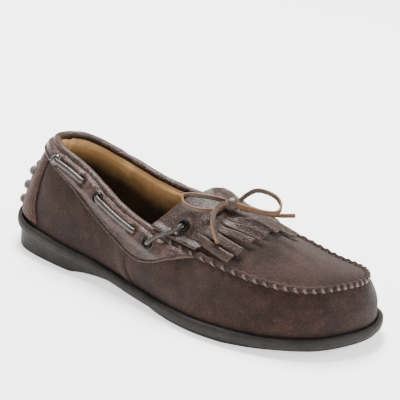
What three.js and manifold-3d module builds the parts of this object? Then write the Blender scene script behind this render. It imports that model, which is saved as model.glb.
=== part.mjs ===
// A right-foot driving moccasin: suede upper with a whip-stitched apron, a leather collar threaded
// with a lace, a fringed kiltie under a bow, and a one-piece rubber sole with pebbles up the heel.
// Millimetres, +X to the toe, +Y to the inner side of the foot, +Z up, standing on Z = 0.
import * as THREE from "three";
import { mergeVertices } from "three/addons/utils/BufferGeometryUtils.js";
import Module from "manifold-3d";

const wasm = await Module();
wasm.setup();

// ---- The last: the foot form that the upper is drawn over ----
const lastLength = 289;
const lastWidth = 99;
const collarHeight = 64; // heel wall, sole seat to top edge
const instepHeight = 74; // crest of the instep above the seat
const wallBulge = 3.5; // how far the side walls belly out halfway up

// ---- Where the upper sits on the sole, above the floor ----
const heelSeat = 24;
const waistSeat = 14;
const ballSeat = 10.5;
const toeSeat = 17;

// ---- Leathers, linings and the gap between touching pieces ----
const gap = 0.3;
const suedeThickness = 1.6;
const leatherThickness = 1.2;
const liningThickness = 1.2;
const counterThickness = 1.2;

// ---- Sole unit ----
const rimReach = 5; // the rim stands this far outside the upper
const rimHeight = 6.5;
const rimLip = 1.2;
const lipGroove = 0.9; // between the lip and the upper
const treadInset = 2.5;
const underWeb = 1; // the rim stands this far below the tread in the waist
const fillerDepth = 3;
const fillerInset = 9;
const shankLength = 92;
const shankWidth = 13;
const shankThickness = 1.4;
const grooveWidth = 2.2;
const grooveDepth = 1.1;
const groovePitch = 12;
const grooveCount = 5;
const waistArch = 5.6; // underside above the floor
const toeSpring = 7.5;

// ---- Insole, heel pad and sock ----
const boardThickness = 2;
const padThickness = 3;
const padLength = 52;
const padRamp = 25; // length over which the sock comes down in front of the pad
const sockThickness = 1.3;
const floorClearance = 0.6; // round the insole board, inside the lining
const sockClearance = 2.4; // higher up, where the heel wall leans in

// ---- Edges and seams ----
const bindingRadius = 2.6; // rolled leather round the mouth
const seamRadius = 2; // raised roll where the apron meets the wall
const whipRadius = 0.6;
const whipTurns = 44;

// ---- Lacing ----
const laceWidth = 3.6;
const laceThickness = 1.6;
const cordDiameter = 3; // the same lace where it hangs free, rounded
const slotLength = 6.5; // where the lace passes through the leather between eyelets
const liftRoom = 2; // the collar stays lifted this far past each edge of the lace
const liftRamp = 6; // and comes down to the quarter over this length
const barrelWall = 0.45;
const flangeReach = 1.15; // past the barrel
const flangeHeight = 0.9; // at the crest of its rolled ring
const flangeEdge = 0.5; // and at its two edges
const knotRadius = 4.2;

// ---- Heel pebbles ----
const pebbleRadius = 3.5;
const pebbleStand = 3.6; // above the heel patch
const plateThickness = 0.8;
const plateSeat = 0.2; // past the usual gap, between the plate and the quarter

// ---- Kiltie ----
const stripWidth = 7.2;
const wingInset = 3; // from the seam line to the kiltie's edge
const tongueInset = 8;

// ---- Inner pieces of the upper ----
const foamDepth = 13; // down from the top edge
const frontRoom = 1; // between the apron and the seam roll at the toe
const liningRoom = 0.5; // the apron lining stops this far inside the apron's edge

const boreRadius = laceWidth / 2 + laceThickness / 4 + gap;
const barrelRadius = boreRadius + barrelWall;
const flangeRadius = barrelRadius + flangeReach;

// Outline stations, 18 round the shoe: 0 heel back, 4 outer waist, 9 toe, 14 inner waist.
const stations = 18;
const toeStation = 9;
const featherPoints = [
  [-147, -1], [-135, -26], [-99, -35], [-55, -37], [-8, -46], [39, -54], [83, -48], [117, -32], [136, -8],
  [142, 15], [132, 35], [105, 44], [69, 45], [28, 39], [-16, 32], [-61, 29], [-103, 29], [-136, 20],
];
// Top edge of the walls: x, y and height above the seat.
const toplinePoints = [
  [-127, 2, 61.5], [-112, -16, 64], [-82, -21, 58.5], [-43, -30, 47.5], [-2, -37, 43.5], [41, -41, 41.5],
  [80, -39, 38], [110, -28, 35.5], [127, -8, 34.5], [134, 11, 34], [124, 27, 34], [98, 33, 35],
  [67, 35, 40], [30, 35, 44.5], [-9, 34, 46], [-49, 32, 47], [-85, 29, 53], [-114, 20, 60],
];
// Crest of the instep and apron: station, x, y and height above the seat.
const crestPoints = [
  [3, -19, 0, 71.5], [3.5, -8, 0, 73.5], [4, 3, 0, 72.5], [4.5, 16, 1, 70.5], [5, 33, -1, 62.5],
  [5.5, 52, -2, 56], [6, 73, -2, 49.5], [7, 104, 2, 43], [8, 125, 8, 38.5], [9, 134, 11, 34.5],
];

// The outline is drawn once and stretched to the named sizes.
const spread = (list, at) => Math.max(...list.map((p) => p[at])) - Math.min(...list.map((p) => p[at]));
const highest = (list, at) => Math.max(...list.map((p) => p[at]));
const lengthScale = lastLength / spread(featherPoints, 0);
const widthScale = lastWidth / spread(featherPoints, 1);
const wallScale = collarHeight / highest(toplinePoints, 2);
const crestScale = instepHeight / highest(crestPoints, 3);

// Smooth value at x through [x, value] pairs.
function valueAlong(pairs, x) {
  const last = pairs.length - 1;
  if (x <= pairs[0][0]) return pairs[0][1];
  if (x >= pairs[last][0]) return pairs[last][1];
  const i = pairs.findIndex((pair) => pair[0] > x) - 1;
  const slope = (a, b) => (pairs[b][1] - pairs[a][1]) / (pairs[b][0] - pairs[a][0]);
  const startSlope = slope(Math.max(i - 1, 0), i + 1);
  const endSlope = slope(i, Math.min(i + 2, last));
  const span = pairs[i + 1][0] - pairs[i][0];
  const t = (x - pairs[i][0]) / span;
  return (
    (2 * t ** 3 - 3 * t ** 2 + 1) * pairs[i][1] +
    (t ** 3 - 2 * t ** 2 + t) * span * startSlope +
    (3 * t ** 2 - 2 * t ** 3) * pairs[i + 1][1] +
    (t ** 3 - t ** 2) * span * endSlope
  );
}

const smoothStep = (t) => THREE.MathUtils.smoothstep(t, 0, 1);

// Height of the sole's top face at x.
const seatPairs = [
  [-0.52, heelSeat],
  [-0.345, (heelSeat + waistSeat) / 2],
  [-0.173, waistSeat],
  [0, ballSeat],
  [0.173, ballSeat],
  [0.35, ballSeat + (toeSeat - ballSeat) / 4],
  [0.52, toeSeat],
].map(([share, height]) => [share * lastLength, height]);
const seatHeight = (x) => valueAlong(seatPairs, x);

const closedCurve = (points) => new THREE.CatmullRomCurve3(points, true, "catmullrom", 0.5);
const featherCurve = closedCurve(
  featherPoints.map(([x, y]) => new THREE.Vector3(x * lengthScale, y * widthScale, 0)),
);
const toplineCurve = closedCurve(
  toplinePoints.map(([x, y, rise]) => {
    const along = x * lengthScale;
    return new THREE.Vector3(along, y * widthScale, seatHeight(along) + rise * wallScale);
  }),
);
const onLoop = (station) => (((station / stations) % 1) + 1) % 1;

// Where the upper meets the sole, and the top edge of its walls, at a station.
function featherAt(station) {
  const point = featherCurve.getPoint(onLoop(station));
  point.z = seatHeight(point.x) + gap;
  return point;
}
const toplineAt = (station) => toplineCurve.getPoint(onLoop(station));
const wallTall = (station) => featherAt(station).distanceTo(toplineAt(station));

function outwardAt(station) {
  const run = featherAt(station + 0.05).sub(featherAt(station - 0.05));
  return new THREE.Vector3(run.y, -run.x, 0).normalize();
}

function wallSkin(station, rise) {
  return featherAt(station)
    .lerp(toplineAt(station), rise)
    .addScaledVector(outwardAt(station), wallBulge * 4 * rise * (1 - rise));
}

function wallNormal(station, rise) {
  const around = wallSkin(station + 0.1, rise).sub(wallSkin(station - 0.1, rise));
  const up = wallSkin(station, Math.min(rise, 1) + 0.02).sub(wallSkin(station, rise - 0.02));
  return around.cross(up).normalize();
}

// A point of the side wall: station round the shoe, rise 0 at the sole to 1 at the top edge, and
// how far it stands out from the face of the suede.
const onWall = (station, rise, out) =>
  wallSkin(station, rise).addScaledVector(wallNormal(station, rise), out);

const crestX = crestPoints.map(([station, x]) => [station, x * lengthScale]);
const crestY = crestPoints.map(([station, , y]) => [station, y * widthScale]);
const crestRise = crestPoints.map(([station, , , rise]) => [station, rise * crestScale]);

function crestAt(station) {
  const x = valueAlong(crestX, station);
  return new THREE.Vector3(x, valueAlong(crestY, station), seatHeight(x) + valueAlong(crestRise, station));
}

const farStation = (station) => 2 * toeStation - station;

function domeSkin(station, across) {
  const near = toplineAt(station);
  const far = toplineAt(farStation(station));
  const lift = crestAt(station).sub(near.clone().lerp(far, 0.5));
  return near.lerp(far, across).addScaledVector(lift, 4 * across * (1 - across));
}

function domeNormal(station, across) {
  const back = domeSkin(station - 0.05, across);
  const forward = domeSkin(Math.min(station + 0.05, toeStation), across).sub(back);
  const side = domeSkin(station, across + 0.01).sub(domeSkin(station, across - 0.01));
  return forward.cross(side).normalize();
}

// A point of the instep and apron: station 3.5 at the mouth to 9 at the toe, across 0 on the outer
// side to 1 on the inner side, and how far it stands out from the face of the apron.
const onDome = (station, across, out) =>
  domeSkin(station, across).addScaledVector(domeNormal(station, across), out);
const domeWide = (station) => toplineAt(station).distanceTo(toplineAt(farStation(station)));

// ---- Layers, counted outward from the face of the suede ----
const suede = [-suedeThickness, 0];
const counter = [suede[0] - 2 * gap - counterThickness, suede[0] - 2 * gap];
const lining = [counter[0] - gap - liningThickness, counter[0] - gap];
const channel = laceThickness + 4.5 * gap; // room for the lace under the collar
const kiltie = [gap, gap + leatherThickness];
const tongueOut = -(laceThickness + 2 * gap);
const tongue = [tongueOut - leatherThickness, tongueOut];
const apronLining = [suede[0] - gap - liningThickness, suede[0] - gap];
const plate = [plateSeat + gap, plateSeat + gap + plateThickness];
const patch = [plate[1] + gap, plate[1] + gap + leatherThickness];

// ---- Closed solids ----
function facingOut(geometry) {
  const { array } = geometry.attributes.position;
  const order = geometry.index.array;
  const corner = (i) => new THREE.Vector3().fromArray(array, 3 * order[i]);
  let volume = 0;
  for (let i = 0; i < order.length; i += 3) {
    volume += corner(i).dot(corner(i + 1).cross(corner(i + 2)));
  }
  if (volume < 0) geometry.setIndex([...order].reverse());
  return geometry;
}

// A solid between two grids of points: pointAt(column, row, side), side 0 inner and 1 outer.
function panel(columns, rows, pointAt) {
  const positions = [];
  const order = [];
  const at = (column, row, side) => (side * (rows + 1) + row) * (columns + 1) + column;
  const face = (a, b, c, d) => order.push(a, b, c, a, c, d);
  for (const side of [0, 1]) {
    for (let row = 0; row <= rows; row++) {
      for (let column = 0; column <= columns; column++) positions.push(...pointAt(column, row, side));
    }
  }
  for (let row = 0; row < rows; row++) {
    for (let column = 0; column < columns; column++) {
      face(at(column, row, 1), at(column + 1, row, 1), at(column + 1, row + 1, 1), at(column, row + 1, 1));
      face(at(column, row, 0), at(column, row + 1, 0), at(column + 1, row + 1, 0), at(column + 1, row, 0));
    }
    face(at(0, row, 0), at(0, row, 1), at(0, row + 1, 1), at(0, row + 1, 0));
    face(at(columns, row, 0), at(columns, row + 1, 0), at(columns, row + 1, 1), at(columns, row, 1));
  }
  for (let column = 0; column < columns; column++) {
    face(at(column, 0, 0), at(column + 1, 0, 0), at(column + 1, 0, 1), at(column, 0, 1));
    face(at(column, rows, 0), at(column, rows, 1), at(column + 1, rows, 1), at(column + 1, rows, 0));
  }
  const geometry = new THREE.BufferGeometry();
  geometry.setAttribute("position", new THREE.Float32BufferAttribute(positions, 3));
  geometry.setIndex(order);
  return facingOut(geometry);
}

// Columns that every wall piece shares, twice as close round the heel.
function columnsBetween(start, end) {
  const list = [start];
  for (let eighth = -8 * stations; eighth < 16 * stations; eighth++) {
    const station = eighth / 8;
    const atHeel = Math.abs(station) < 1.6;
    const shared = eighth % 2 === 0 || atHeel;
    if (shared && station > start + 0.05 && station < end - 0.05) list.push(station);
  }
  list.push(end);
  return list;
}

// A wall piece between two stations; low, high, inner and outer may vary with station and rise.
function wallPiece(start, end, low, high, rows, inner, outer) {
  const columns = columnsBetween(start, end);
  const number = (value, ...at) => (typeof value === "function" ? value(...at) : value);
  return panel(columns.length - 1, rows, (column, row, side) => {
    const station = columns[column];
    const bottom = number(low, station);
    const rise = bottom + ((number(high, station) - bottom) * row) / rows;
    return onWall(station, rise, number(side ? outer : inner, station, rise));
  });
}

// How squarely the row across the dome meets the seam line, as a sine.
function edgeSlant(station) {
  const across = toplineAt(farStation(station)).sub(toplineAt(station)).normalize();
  const run = toplineAt(station + 0.05).sub(toplineAt(station - 0.05)).normalize();
  return across.cross(run).length();
}

// A dome piece between two lines of stations, kept clear of the seam line by inset.
function domePiece(rearLine, frontLine, columns, rows, inset, inner, outer) {
  return panel(columns, rows, (column, row, side) => {
    const share = column / columns;
    const station = THREE.MathUtils.lerp(rearLine(share), frontLine(share), row / rows);
    const start = inset / edgeSlant(station) / domeWide(station);
    const end = 1 - inset / edgeSlant(farStation(station)) / domeWide(station);
    return onDome(station, THREE.MathUtils.lerp(start, end, share), side ? outer : inner);
  });
}

// A flat strap swept along points; its broad face follows faceAt where it lies along a surface, and
// is carried from the middle of the strap to both ends where it dives through a hole.
function strap(points, faceAt, width, thickness) {
  const tangent = (i) =>
    points[Math.min(i + 1, points.length - 1)].clone().sub(points[Math.max(i - 1, 0)]).normalize();
  const turned = (face, i) => {
    const run = tangent(i);
    const kept = face.clone().addScaledVector(run, -face.dot(run)).normalize();
    const wanted = faceAt(i).clone();
    if (wanted.dot(kept) < 0) wanted.negate();
    wanted.addScaledVector(run, -wanted.dot(run));
    return kept.lerp(wanted, wanted.lengthSq() / 2).normalize();
  };
  const middle = Math.floor(points.length / 2);
  const faces = [];
  faces[middle] = turned(faceAt(middle), middle);
  for (let i = middle + 1; i < points.length; i++) faces[i] = turned(faces[i - 1], i);
  for (let i = middle - 1; i >= 0; i--) faces[i] = turned(faces[i + 1], i);
  return panel(points.length - 1, 1, (column, row, side) => {
    const across = tangent(column).cross(faces[column]).normalize();
    return points[column]
      .clone()
      .addScaledVector(across, (row - 0.5) * width)
      .addScaledVector(faces[column], (side - 0.5) * thickness);
  });
}

const circleShape = (radius, sides) =>
  new THREE.Shape(
    Array.from({ length: sides }, (_, i) => {
      const angle = (i * 2 * Math.PI) / sides;
      return new THREE.Vector2(radius * Math.cos(angle), radius * Math.sin(angle));
    }),
  );

function roundTube(points, radius, steps, sides = 8) {
  return new THREE.ExtrudeGeometry(circleShape(radius, sides), {
    steps,
    extrudePath: new THREE.CatmullRomCurve3(points, false, "centripetal"),
  });
}

// ---- Booleans ----
function solid(geometry) {
  const bare = geometry.clone();
  bare.deleteAttribute("normal");
  bare.deleteAttribute("uv");
  const merged = mergeVertices(bare, 1e-4);
  return new wasm.Manifold(
    new wasm.Mesh({
      numProp: 3,
      vertProperties: merged.attributes.position.array,
      triVerts: new Uint32Array(merged.index.array),
    }),
  );
}

function geometryOf(manifold) {
  const mesh = manifold.getMesh();
  const geometry = new THREE.BufferGeometry();
  geometry.setAttribute("position", new THREE.BufferAttribute(mesh.vertProperties, 3));
  geometry.setIndex(new THREE.BufferAttribute(mesh.triVerts, 1));
  return geometry;
}

const cutBy = (geometry, ...tools) =>
  geometryOf(tools.reduce((left, tool) => left.subtract(solid(tool)), solid(geometry)));

// A frame whose +Y stands on a surface point.
function standOn(point, normal) {
  const turn = new THREE.Quaternion().setFromUnitVectors(new THREE.Vector3(0, 1, 0), normal);
  return new THREE.Matrix4().compose(point, turn, new THREE.Vector3(1, 1, 1));
}

// ---- Sole unit ----
function outline(offset, count = 54) {
  return new THREE.Shape(
    Array.from({ length: count }, (_, i) => {
      const station = (i * stations) / count;
      const point = featherAt(station).addScaledVector(outwardAt(station), offset);
      return new THREE.Vector2(point.x, point.y);
    }),
  );
}

const upright = (shape) =>
  solid(new THREE.ExtrudeGeometry(shape, { depth: 200, bevelEnabled: false }).translate(0, 0, -50));

// Everything between two heights that depend on x, across the whole width.
function layerBetween(lower, upper, from, to, steps = 22) {
  const xs = Array.from({ length: steps + 1 }, (_, i) => from + ((to - from) * i) / steps);
  const shape = new THREE.Shape([
    ...xs.map((x) => new THREE.Vector2(x, lower(x))),
    ...xs.reverse().map((x) => new THREE.Vector2(x, upper(x))),
  ]);
  const slab = new THREE.ExtrudeGeometry(shape, { depth: 400, bevelEnabled: false });
  return solid(slab.rotateX(Math.PI / 2).translate(0, 200, 0));
}

const toeEnd = lastLength * 0.56;
const heelEnd = -toeEnd;
const breastX = -0.287 * lastLength;
const flatFront = 0.21 * lastLength; // the tread starts to rise toward the toe
const rimBottom = (x) => seatHeight(x) - rimHeight;

// Underside of the sole: flat heel, arched waist, flat forefoot and a sprung toe, as shares of the
// length along and of each rise up.
const waistPairs = [
  [-0.29, 0], [-0.253, 0.45], [-0.19, 0.85], [-0.128, 1], [-0.065, 0.89], [-0.03, 0.6], [0.003, 0.2],
  [0.05, 0],
].map(([share, height]) => [share * lastLength, height * waistArch]);
const springPairs = [
  [0.21, 0], [0.29, 0.24], [0.345, 0.44], [0.39, 0.56], [0.43, 0.64], [0.47, 0.77], [0.52, 1],
].map(([share, height]) => [share * lastLength, height * toeSpring]);
const underside = (x) =>
  Math.min(
    Math.max(valueAlong(waistPairs, x), 0) + Math.max(valueAlong(springPairs, x), 0),
    Math.max(rimBottom(x) + rimHeight - underWeb, 0),
  );

function outsole() {
  const rim = upright(outline(rimReach)).intersect(
    layerBetween(rimBottom, (x) => seatHeight(x) + rimLip, heelEnd, toeEnd),
  );
  const heel = layerBetween(() => 0, (x) => rimBottom(x) + 1, heelEnd, breastX, 12);
  const front = layerBetween(underside, (x) => rimBottom(x) + 1, breastX + 0.01, toeEnd);
  const tread = upright(outline(rimReach - treadInset)).intersect(heel.add(front));
  const seat = upright(outline(lipGroove)).intersect(
    layerBetween(seatHeight, (x) => seatHeight(x) + rimLip + 1, heelEnd, toeEnd),
  );
  const recess = upright(outline(-fillerInset)).intersect(
    layerBetween((x) => seatHeight(x) - fillerDepth, (x) => seatHeight(x) + rimLip, heelEnd, toeEnd),
  );
  let body = rim.add(tread).subtract(seat).subtract(recess);
  for (let i = 0; i < grooveCount; i++) {
    const groove = new THREE.BoxGeometry(grooveWidth, 2 * lastWidth, 2 * grooveDepth);
    const x = flatFront + (grooveCount / 2 - i - 1) * groovePitch;
    body = body.subtract(solid(groove.translate(x, 0, underside(x))));
  }
  return geometryOf(body);
}

const shankX = -0.11 * lastLength;
const shankBox = (room) =>
  solid(new THREE.BoxGeometry(shankLength + 2 * room, shankWidth + 2 * room, 200).translate(shankX, 0, 0));

function midsoleFiller() {
  const slab = layerBetween(
    (x) => seatHeight(x) - fillerDepth + gap,
    (x) => seatHeight(x) - gap,
    heelEnd,
    toeEnd,
  );
  const slot = shankBox(gap).intersect(
    layerBetween((x) => seatHeight(x) - shankThickness - 2 * gap, () => 100, heelEnd, toeEnd),
  );
  return geometryOf(upright(outline(-fillerInset - gap)).intersect(slab).subtract(slot));
}

function shank() {
  const strip = layerBetween(
    (x) => seatHeight(x) - shankThickness - gap,
    (x) => seatHeight(x) - gap,
    heelEnd,
    toeEnd,
  );
  return geometryOf(shankBox(0).intersect(strip));
}

const floorInset = lining[0] - floorClearance;
const boardTop = (x) => seatHeight(x) + gap + boardThickness;
const padFront = -lastLength / 2 + padLength;
const padBump = (x) => (padThickness + gap) * (1 - smoothStep((x - padFront - 1) / padRamp));

function insoleBoard() {
  const slab = layerBetween((x) => seatHeight(x) + gap, boardTop, heelEnd, toeEnd);
  return geometryOf(upright(outline(floorInset)).intersect(slab));
}

function heelPad() {
  const slab = layerBetween(
    (x) => boardTop(x) + gap,
    (x) => boardTop(x) + gap + padThickness,
    heelEnd,
    padFront,
    16,
  );
  return geometryOf(upright(outline(lining[0] - sockClearance)).intersect(slab));
}

function sock() {
  const under = (x) => boardTop(x) + gap + padBump(x);
  const slab = layerBetween(under, (x) => under(x) + sockThickness, heelEnd, toeEnd, 30);
  return geometryOf(upright(outline(lining[0] - sockClearance)).intersect(slab));
}

// ---- Upper walls ----
const mouthFront = 4.12; // station where the mouth binding ends and the apron seam starts
const whipCoil = seamRadius + 2 * whipRadius + gap;
const seamEdge = whipCoil + whipRadius + gap;
const isMouth = (station) => Math.abs(station) < mouthFront || Math.abs(station) > stations - mouthFront;
const topRise = (station) =>
  1 - (isMouth(station) ? bindingRadius + gap : seamEdge) / wallTall(station);

// The side seam leans back as it rises.
const seamStation = (rise) => 3.4 + 0.32 * Math.max(0, 1 - rise / 0.4) ** 2;

// A wall piece whose end runs along the side seam; its other columns are the shared ones.
function seamedPiece(from, to, seamAtStart, seamAtEnd, rows, inner, outer) {
  const list = columnsBetween(from, to);
  return panel(list.length - 1, rows, (column, row, side) => {
    let station = list[column];
    const top = topRise(station);
    const rise = (top * row) / rows;
    if (column === 0 && seamAtStart) station = seamAtStart(rise);
    if (column === list.length - 1 && seamAtEnd) station = seamAtEnd(rise);
    return onWall(station, rise, side ? outer : inner);
  });
}

const seamHalfGap = 0.01;
const vampWall = () =>
  seamedPiece(
    3.75,
    stations - 3.75,
    (rise) => seamStation(rise) + seamHalfGap,
    (rise) => stations - seamStation(rise) - seamHalfGap,
    4,
    ...suede,
  );
const quarterOuter = () =>
  seamedPiece(seamHalfGap, 3.4, null, (rise) => seamStation(rise) - seamHalfGap, 4, ...suede);
const quarterInner = () =>
  seamedPiece(-3.4, -seamHalfGap, (rise) => seamHalfGap - seamStation(rise), null, 4, ...suede);

const liningLow = 0.03;
const quarterLining = () => wallPiece(-3.4, 3.4, liningLow, topRise, 3, ...lining);
const vampLining = () => wallPiece(3.42, stations - 3.42, liningLow, topRise, 2, ...lining);
const heelCounter = () => wallPiece(-2.3, 2.3, 0.06, 0.66, 3, ...counter);
const collarFoam = () =>
  wallPiece(-3.35, 3.35, (s) => topRise(s) - foamDepth / wallTall(s), topRise, 2, ...counter);

// ---- Collar: a leather band round the mouth with a channel for the lace ----
const collarLow = [
  [0, 0.83], [0.95, 0.83], [1.45, 0.77], [1.85, 0.72], [2.47, 0.63], [3.15, 0.525], [3.47, 0.465],
  [3.7, 0.47], [3.95, 0.56], [4.3, 0.76],
];
const laceLine = [
  [0, 0.87], [1.22, 0.885], [2.02, 0.88], [2.48, 0.872], [3.41, 0.86], [3.78, 0.82], [4.3, 0.8],
];
const collarEnd = 4.1;
const fromHeel = (station) => Math.abs(station);
const laceRise = (station) => valueAlong(laceLine, fromHeel(station));

// The collar lifts off the quarter over the lace and lies down again on both sides of it.
function collarLift(station, rise) {
  const off = Math.abs(rise - laceRise(station)) * wallTall(station);
  const flat = laceWidth / 2 + liftRoom;
  return gap + channel * (1 - smoothStep((off - flat) / liftRamp));
}

function collar(side) {
  const reach = [side > 0 ? seamHalfGap : -collarEnd, side > 0 ? collarEnd : -seamHalfGap];
  const low = (station) => valueAlong(collarLow, fromHeel(station));
  const inner = (station, rise) => collarLift(station, rise);
  const outer = (station, rise) => collarLift(station, rise) + leatherThickness;
  return wallPiece(...reach, low, topRise, 6, inner, outer);
}

// ---- Heel patch and pebbles ----
const patchEnd = [
  [0, 1.5], [0.12, 1.42], [0.24, 1.28], [0.36, 1.18], [0.55, 1.06], [0.72, 0.95], [0.8, 0.9],
];
const patchTop = 0.8;
const plateWide = 0.8; // in stations, to each side of the heel's middle line
const plateLow = 0.03;
const plateTop = 0.66;
const pebbleRises = [0.12, 0.32, 0.52];
const pebbleStations = [-0.46, 0, 0.46];

function heelLayer(widest, low, high, layer, columns, rows) {
  return panel(columns, rows, (column, row, side) => {
    const rise = low + ((high - low) * row) / rows;
    const reach = Math.min(valueAlong(patchEnd, rise), widest);
    return onWall(reach * ((2 * column) / columns - 1), rise, layer[side]);
  });
}

const pebbleSpots = pebbleRises.flatMap((rise) => pebbleStations.map((station) => [station, rise]));

function pebble(station, rise, from, to) {
  const height = to - from;
  const crown = Math.min(pebbleRadius, height) * 0.6;
  const profile = [
    [0, 0],
    [pebbleRadius, 0],
    [pebbleRadius, height - crown],
    [pebbleRadius * 0.7, height - crown * 0.25],
    [0, height],
  ].map(([x, y]) => new THREE.Vector2(x, y));
  const knob = new THREE.LatheGeometry(profile, 8);
  return knob.applyMatrix4(standOn(onWall(station, rise, from), wallNormal(station, rise)));
}

function heelPatch() {
  const low = (rimLip + patch[1]) / wallTall(0);
  const holes = pebbleSpots.map((spot) => drill(onWall, wallNormal, ...spot, pebbleRadius + gap, 8));
  return cutBy(heelLayer(2, low, patchTop, patch, 18, 5), ...holes);
}

function pebblePlate() {
  const sheet = solid(heelLayer(plateWide, plateLow, plateTop, plate, 12, 4));
  const root = (plate[0] + plate[1]) / 2;
  const crown = patch[1] + pebbleStand;
  const knobs = pebbleSpots.map(([station, rise]) => solid(pebble(station, rise, root, crown)));
  return geometryOf(knobs.reduce((body, knob) => body.add(knob), sheet));
}

// ---- Rolled edges ----
const seamLine = (from, to, count) =>
  Array.from({ length: count + 1 }, (_, i) => toplineAt(from + ((to - from) * i) / count));

const mouthBinding = () =>
  roundTube(seamLine(-mouthFront, mouthFront, 44), bindingRadius, 52, 6);
const seamStart = mouthFront + 0.1;
const apronSeam = () => roundTube(seamLine(seamStart, stations - seamStart, 60), seamRadius, 52, 6);

// One long whip stitch winding round the seam roll.
function whipLace() {
  const steps = whipTurns * 5;
  const points = Array.from({ length: steps + 1 }, (_, i) => {
    const station = seamStart + 0.05 + ((stations - 2 * seamStart - 0.1) * i) / steps;
    const run = toplineAt(station + 0.03).sub(toplineAt(station - 0.03)).normalize();
    const out = outwardAt(station);
    const up = out.clone().cross(run).negate().normalize();
    const side = run.clone().cross(up).normalize();
    const angle = (2 * Math.PI * i) / 5;
    return toplineAt(station)
      .addScaledVector(up, whipCoil * Math.cos(angle))
      .addScaledVector(side, whipCoil * Math.sin(angle));
  });
  return roundTube(points, whipRadius, steps, 3);
}

// ---- Apron, tongue and kiltie ----
const arch = (share) => 4 * share * (1 - share);
const throatLine = (share) => 4.6 + 0.35 * arch(share);
const mouthPairs = [
  [0, 3.68], [0.05, 3.68], [0.1, 3.72], [0.2, 3.8], [0.3, 3.95], [0.4, 4.14], [0.5, 4.3], [0.6, 4.38],
  [0.7, 4.36], [0.8, 4.22], [0.9, 4], [1, 3.8],
];
const mouthLine = (share) => valueAlong(mouthPairs, share);
const hingeGap = 0.04; // in stations, to each side of the throat line

// The station where the apron's front edge clears the seam roll at the toe.
function apronFront() {
  let station = toeStation;
  while (crestAt(station).distanceTo(toplineAt(toeStation)) < seamEdge + frontRoom) station -= 0.01;
  return station;
}

const apron = () =>
  domePiece((s) => throatLine(s) + hingeGap, apronFront, 12, 14, seamEdge, ...suede);
const apronLiningPiece = () =>
  domePiece((s) => throatLine(s) + hingeGap, apronFront, 8, 9, seamEdge + liningRoom, ...apronLining);
const tonguePiece = () =>
  domePiece((s) => mouthLine(s) - 0.02, (s) => throatLine(s) - hingeGap, 12, 3, tongueInset, ...tongue);

// Where the lace dives through the kiltie: an eyelet on each wing and a slit by the knot.
const wingEyelet = [4.23, 0.105];
const knotSlit = [4.6, 0.42];
const knotSpot = [4.875, 0.438];
const onSide = (side, [station, across]) => [station, side > 0 ? across : 1 - across];

const knotCentre = onDome(...knotSpot, kiltie[1] + gap + knotRadius);

function kiltieSaddle() {
  const body = domePiece(mouthLine, (s) => throatLine(s) - hingeGap, 14, 4, wingInset, ...kiltie);
  const holes = [1, -1].flatMap((side) => [
    drill(onDome, domeNormal, ...onSide(side, wingEyelet)),
    slotCutter(onDome, domeNormal, onSide(side, [4.56, 0.38]), onSide(side, [4.62, 0.43])),
  ]);
  return cutBy(body, ...holes);
}

// The fringe: a band stitched down along the throat line with strips cut forward from it.
const bandDepth = 0.16;
const stripRoots = [0.1, 0.16, 0.218, 0.304, 0.372, 0.47, 0.62, 0.76, 0.87];
const stripTips = [
  [5.31, 0.075], [5.48, 0.137], [5.59, 0.266], [5.7, 0.36], [5.72, 0.468], [5.8, 0.631], [6.06, 0.76],
  [5.95, 0.85], [5.5, 0.91],
];
const stripLifts = [3.6, 1.6, 1.2, 1.4, 2.2, 1.2, 1.4, 1.2, 1.4];

function fringeStrip(index) {
  const root = stripRoots[index];
  const [tipStation, tipAcross] = stripTips[index];
  const rootStation = throatLine(root) + bandDepth / 2;
  return panel(2, 4, (column, row, side) => {
    const share = row / 4;
    const station = THREE.MathUtils.lerp(rootStation, tipStation, share);
    const across = THREE.MathUtils.lerp(root, tipAcross, share);
    const half = stripWidth / 2 / domeWide(station);
    const lift = stripLifts[index] * smoothStep(share * 1.6);
    return onDome(station, across + (column - 1) * half, kiltie[side] + lift);
  });
}

function kiltieFringe() {
  const line = (s) => throatLine(s) + hingeGap;
  let body = solid(domePiece(line, (s) => line(s) + bandDepth, 16, 1, wingInset, ...kiltie));
  for (let i = 0; i < stripRoots.length; i++) body = body.add(solid(fringeStrip(i)));
  return geometryOf(body);
}

// A slot through a surface at a point, running the way the point moves from one end to the other.
function slotCutter(surface, normal, [fromStation, fromAt], [toStation, toAt]) {
  const station = (fromStation + toStation) / 2;
  const at = (fromAt + toAt) / 2;
  const up = normal(station, at);
  const run = surface(toStation, toAt, 0).sub(surface(fromStation, fromAt, 0));
  run.addScaledVector(up, -run.dot(up)).normalize();
  const basis = new THREE.Matrix4().makeBasis(run, up, run.clone().cross(up));
  const cutter = new THREE.BoxGeometry(slotLength, 24, laceWidth + 4 * gap);
  return cutter.applyMatrix4(basis.setPosition(surface(station, at, 0)));
}

// ---- Eyelets ----
const collarFace = (station, rise) => collarLift(station, rise) + leatherThickness;

function drill(surface, normal, station, at, radius = barrelRadius + gap, sides = 10) {
  const bit = new THREE.CylinderGeometry(radius, radius, 24, sides);
  return bit.applyMatrix4(standOn(surface(station, at, 0), normal(station, at)));
}

function eyelet(surface, normal, station, at, face) {
  const profile = [
    [boreRadius, -leatherThickness],
    [barrelRadius, -leatherThickness],
    [barrelRadius, gap],
    [flangeRadius, gap],
    [flangeRadius, gap + flangeEdge],
    [(flangeRadius + boreRadius) / 2, gap + flangeHeight],
    [boreRadius, gap + flangeEdge],
    [boreRadius, -leatherThickness],
  ].map(([x, y]) => new THREE.Vector2(x, y));
  const ring = new THREE.LatheGeometry(profile, 10);
  return ring.applyMatrix4(standOn(surface(station, at, face), normal(station, at)));
}

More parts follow.
